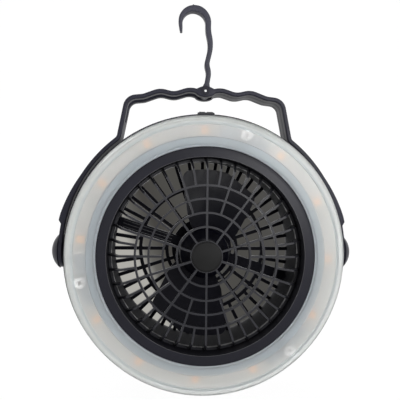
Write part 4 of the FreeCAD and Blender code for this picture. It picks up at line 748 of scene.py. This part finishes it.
def make_lens():
    """The frosted ring: a shallow channel with a sunk band and a broadly rounded outer corner."""
    sunk = LENS_FACE - BAND_SINK
    back = LENS_FACE - LENS_WALL
    corners = [
        (LENS_FOOT, LENS_FOOT_DEPTH), (LENS_FOOT, LENS_LEDGE_DEPTH), (LENS_LIP, LENS_LEDGE_DEPTH),
        (LENS_LIP, sunk), (LENS_LIP + 1, LENS_FACE), (BAND_FROM, LENS_FACE), (BAND_FROM + 0.5, sunk),
        (BAND_TO - 0.5, sunk), (BAND_TO, LENS_FACE), (LENS_OUTER, LENS_FACE), (LENS_OUTER, LENS_BACK),
        (LENS_OUTER - LENS_WALL, LENS_BACK), (LENS_OUTER - LENS_WALL, back),
        (LENS_LIP + LENS_WALL, back), (LENS_LIP + LENS_WALL, LENS_FOOT_DEPTH)]
    radii = [0.3, 0.3, 0.5, 0.2, 0.4, 0.3, 0.3, 0.3, 0.3, 7, 0.3, 0.3, 5, 0.5, 0.3]
    mesh = ring_mesh("lens_ring", round_corners(corners, radii))
    weighted(add_piece("lens_ring", mesh, "light_ring", ("light_ring",)))


def post_mesh(name, places, profile, steps=40):
    """Round posts: a profile of (radius, depth) turned about a line along the fan's axis at each place."""
    work = bmesh.new()
    profile = np.asarray(profile) * MM
    angle = np.linspace(0, 2 * math.pi, steps, endpoint=False)[:, None]
    for across, up in places:
        grid = np.stack([
            across * MM + profile[None, :, 0] * np.cos(angle),
            -profile[None, :, 1] + 0 * angle,
            up * MM + profile[None, :, 0] * np.sin(angle)], axis=-1)
        part = grid_mesh("part", grid, True, True)
        work.from_mesh(part)
        bpy.data.meshes.remove(part)
    mesh = bpy.data.meshes.new(name)
    work.to_mesh(mesh)
    work.free()
    return mesh


def on_circle(radius, angle):
    turn = math.radians(angle)
    return radius * math.cos(turn), radius * math.sin(turn)


def make_lens_posts():
    """The three hollow screw posts that stand behind the lens."""
    places = [on_circle(POST_CIRCLE, angle) for angle in POST_ANGLES]
    outline = round_corners(
        [(POST_BORE, LENS_BACK), (POST_RADIUS, LENS_BACK), (POST_RADIUS, POST_RIM_DEPTH),
         (POST_RIM, POST_RIM_DEPTH), (POST_RIM - 0.2, POST_FACE), (POST_BORE, POST_FACE)],
        [0.2, 0.2, 0.15, 0.15, 0.1, 0.2], 3)
    add_piece("lens_posts", post_mesh("lens_posts", places, outline), "light_ring", finish="lens_posts")


def make_lens_ribs():
    """The lens's two thin seating ribs: one against the bezel, and one on the tray's rim whose near-white
    finish paints a highlight line.
    """
    for name, inner, outer, top, finish in (
            ("lens_lip", 81.7, 82.2, 61.9, "lens_lip"), ("lens_rib", 100.1, 100.9, 61.6, "lens_posts")):
        corners = [(inner, RIB_FOOT_DEPTH), (outer, RIB_FOOT_DEPTH), (outer, top), (inner, top)]
        outline = round_corners(corners, [0.15, 0.15, 0.25, 0.25], 4)
        add_piece(name, ring_mesh(name, outline), "light_ring", finish=finish)


# Stage, light and camera

def seen_directly(nodes, links):
    """One for camera rays and for rays that left a glossy or clear surface, otherwise nought."""
    rays = nodes.new("ShaderNodeLightPath")
    value = rays.outputs["Is Camera Ray"]
    for kind in ("Is Glossy Ray", "Is Transmission Ray"):
        either = nodes.new("ShaderNodeMath")
        either.operation = "MAXIMUM"
        links.new(value, either.inputs[0])
        links.new(rays.outputs[kind], either.inputs[1])
        value = either.outputs[0]
    return value


def make_stage():
    """A pale floor and backdrop in one sweep, white to the camera and softly shaded by the object."""
    floor_level = cad_low.z - 0.0005
    width, rear, rise = 2.4, 1.0, 2.2
    bend = np.linspace(0, math.pi / 2, 13)
    radius = 0.35
    depth = np.concatenate([[-1.6], rear - radius + radius * np.sin(bend), [rear]])
    height = np.concatenate([[0], radius - radius * np.cos(bend), [rise]]) + floor_level
    across = np.array([-width, width])
    grid = np.stack([
        across[None, :] + 0 * depth[:, None],
        depth[:, None] + 0 * across,
        height[:, None] + 0 * across], axis=-1)
    mesh = grid_mesh("studio_sweep", grid, False, False)
    sweep = bpy.data.objects.new("studio_sweep", mesh)
    bpy.context.scene.collection.objects.link(sweep)
    material, nodes, shader, link = new_material("studio_white")
    shader.inputs["Base Color"].default_value = (0.9, 0.9, 0.9, 1)
    shader.inputs["Roughness"].default_value = 0.8
    glow = nodes.new("ShaderNodeEmission")
    glow.inputs["Strength"].default_value = 1.03
    mix = nodes.new("ShaderNodeMixShader")
    seen = nodes.new("ShaderNodeMath")
    seen.operation = "MULTIPLY"
    seen.inputs[1].default_value = 0.94
    link(seen_directly(nodes, material.node_tree.links), seen.inputs[0])
    link(seen.outputs[0], mix.inputs["Fac"])
    link(shader.outputs[0], mix.inputs[1])
    link(glow.outputs[0], mix.inputs[2])
    link(mix.outputs[0], nodes["Material Output"].inputs["Surface"])
    mesh.materials.append(material)


def make_shade():
    """A painted shadow: an emissive disc close behind the fan whose colour paints the dim backdrop in the
    fan's shadow, as seen through both grilles.
    """
    turns = np.linspace(0, 2 * math.pi, 97)[:-1]
    rings = np.array([[0.0], [SHADE_RADIUS / 2], [SHADE_RADIUS]]) * MM
    grid = np.stack([
        rings * np.cos(turns), SHADE_DEPTH * MM + 0 * rings * turns, rings * np.sin(turns)], axis=-1)
    mesh = grid_mesh("painted_shadow_disc", grid.transpose(1, 0, 2), True, False)
    if mesh.polygons[-1].normal.y > 0:
        mesh.flip_normals()
    disc = bpy.data.objects.new("painted_shadow_disc", mesh)
    bpy.context.scene.collection.objects.link(disc)
    material, nodes, shader, link = new_material("painted_shadow_disc")
    place = nodes.new("ShaderNodeTexCoord")
    across = nodes.new("ShaderNodeMapping")
    across.inputs["Rotation"].default_value = (0, math.radians(SHADE_TURN), 0)
    across.inputs["Scale"].default_value = (-1 / (2 * SHADE_RADIUS * MM),) * 3
    across.inputs["Location"].default_value = (0.5, 0, 0)
    part = nodes.new("ShaderNodeSeparateXYZ")
    glow = nodes.new("ShaderNodeEmission")
    clear = nodes.new("ShaderNodeBsdfTransparent")
    rays = nodes.new("ShaderNodeLightPath")
    face = nodes.new("ShaderNodeNewGeometry")
    front = nodes.new("ShaderNodeMath")
    front.operation = "SUBTRACT"
    front.use_clamp = True
    mix = nodes.new("ShaderNodeMixShader")
    link(place.outputs["Object"], across.inputs["Vector"])
    link(across.outputs["Vector"], part.inputs["Vector"])
    # Painted shadow: dark over most of the disc, lighter towards the lower left
    link(ramp(nodes, link, part.outputs["X"], [
        (0.06, (0.075, 0.073, 0.069)), (0.32, (0.070, 0.068, 0.062)), (0.50, (0.075, 0.073, 0.067)),
        (0.68, (0.060, 0.057, 0.052)), (0.78, (0.12, 0.117, 0.107)), (0.86, (0.42, 0.41, 0.38))]),
        glow.inputs["Color"])
    link(rays.outputs["Is Camera Ray"], front.inputs[0])
    link(face.outputs["Backfacing"], front.inputs[1])
    link(front.outputs[0], mix.inputs["Fac"])
    link(clear.outputs[0], mix.inputs[1])
    link(glow.outputs[0], mix.inputs[2])
    link(mix.outputs[0], nodes["Material Output"].inputs["Surface"])
    mesh.materials.append(material)


def area_lamp(name, place, aim, side, power):
    """A rectangular lamp at a place, turned to face a point."""
    data = bpy.data.lights.new(name, "AREA")
    data.shape = "RECTANGLE"
    data.size, data.size_y = side
    data.energy = power
    lamp = bpy.data.objects.new(name, data)
    bpy.context.scene.collection.objects.link(lamp)
    lamp.location = place
    lamp.rotation_euler = (Vector(aim) - Vector(place)).to_track_quat("-Z", "Y").to_euler()
    return lamp


def make_lights():
    """A soft white world, dimmer for what it lights than for what sees it, and five broad lamps."""
    world = bpy.data.worlds.new("soft_white")
    bpy.context.scene.world = world
    world.use_nodes = True
    nodes = world.node_tree.nodes
    links = world.node_tree.links
    back = nodes["Background"]
    strength = nodes.new("ShaderNodeMix")
    strength.inputs["A"].default_value = 0.38
    strength.inputs["B"].default_value = 1.0
    links.new(seen_directly(nodes, links), strength.inputs["Factor"])
    links.new(strength.outputs["Result"], back.inputs["Strength"])
    back.inputs["Color"].default_value = (1, 1, 1, 1)
    area_lamp("front_right", (0.38, -1.08, 0.22), (0, -0.05, 0.02), (0.40, 0.36), 6.4)
    area_lamp("front_low", (-0.20, -1.15, 0.06), (0, -0.05, 0.03), (1.0, 0.3), 0.6)
    area_lamp("side_right", (0.95, -0.4, 0.30), (0, -0.03, 0.0), (0.5, 0.9), 3.2)
    area_lamp("side_left", (-0.95, -0.5, 0.15), (0, -0.03, 0.0), (0.5, 0.9), 2.6)
    area_lamp("rim_behind", (-0.2, 0.7, 0.7), (0, 0, 0.05), (0.9, 0.5), 2.2)


def make_camera():
    """The camera that was fitted to the photograph: yaw, pitch and roll about its own place."""
    yaw_cos, yaw_sin = math.cos(CAMERA_YAW), math.sin(CAMERA_YAW)
    pitch_cos, pitch_sin = math.cos(CAMERA_PITCH), math.sin(CAMERA_PITCH)
    level_right = Vector((yaw_cos, -yaw_sin, 0))
    level_ahead = Vector((yaw_sin, yaw_cos, 0))
    ahead = level_ahead * pitch_cos + Vector((0, 0, pitch_sin))
    above = Vector((0, 0, pitch_cos)) - level_ahead * pitch_sin
    right = level_right * math.cos(CAMERA_ROLL) + above * math.sin(CAMERA_ROLL)
    up = above * math.cos(CAMERA_ROLL) - level_right * math.sin(CAMERA_ROLL)
    data = bpy.data.cameras.new("photo_camera")
    data.lens = FOCUS_PIXELS / PHOTO_SIDE * SENSOR_WIDTH
    data.sensor_width = SENSOR_WIDTH
    data.clip_start = 0.01
    camera = bpy.data.objects.new("photo_camera", data)
    bpy.context.scene.collection.objects.link(camera)
    turn = Matrix((right, up, -ahead)).transposed().to_4x4()
    camera.matrix_world = Matrix.Translation(CAMERA_PLACE) @ turn
    bpy.context.scene.camera = camera


# Build

def dress_nodes():
    """Every CAD node without a piece of its own gets a refined copy, some with softened edges."""
    bevels = {
        "front_grille": 0.25, "rear_grille": 0.3, "front_bezel": 0.3, "key_frame": 0.3, "hook_pin": 0.15}
    changes = {"front_bezel": slope_bezel}
    replaced = {"light_ring", "handle", "hook"}
    for node in NODES:
        if node not in replaced:
            refined(node, node + "_surface", bevels.get(node, 0.0) * MM, change=changes.get(node))


bpy.context.scene.view_settings.view_transform = "Standard"
make_lens()
make_lens_posts()
make_lens_ribs()
make_handle()
make_hook()
make_pin_light_spot()
make_duct_ridges()
make_bezel_edge()
dress_nodes()
make_stage()
make_shade()
make_lights()
make_camera()
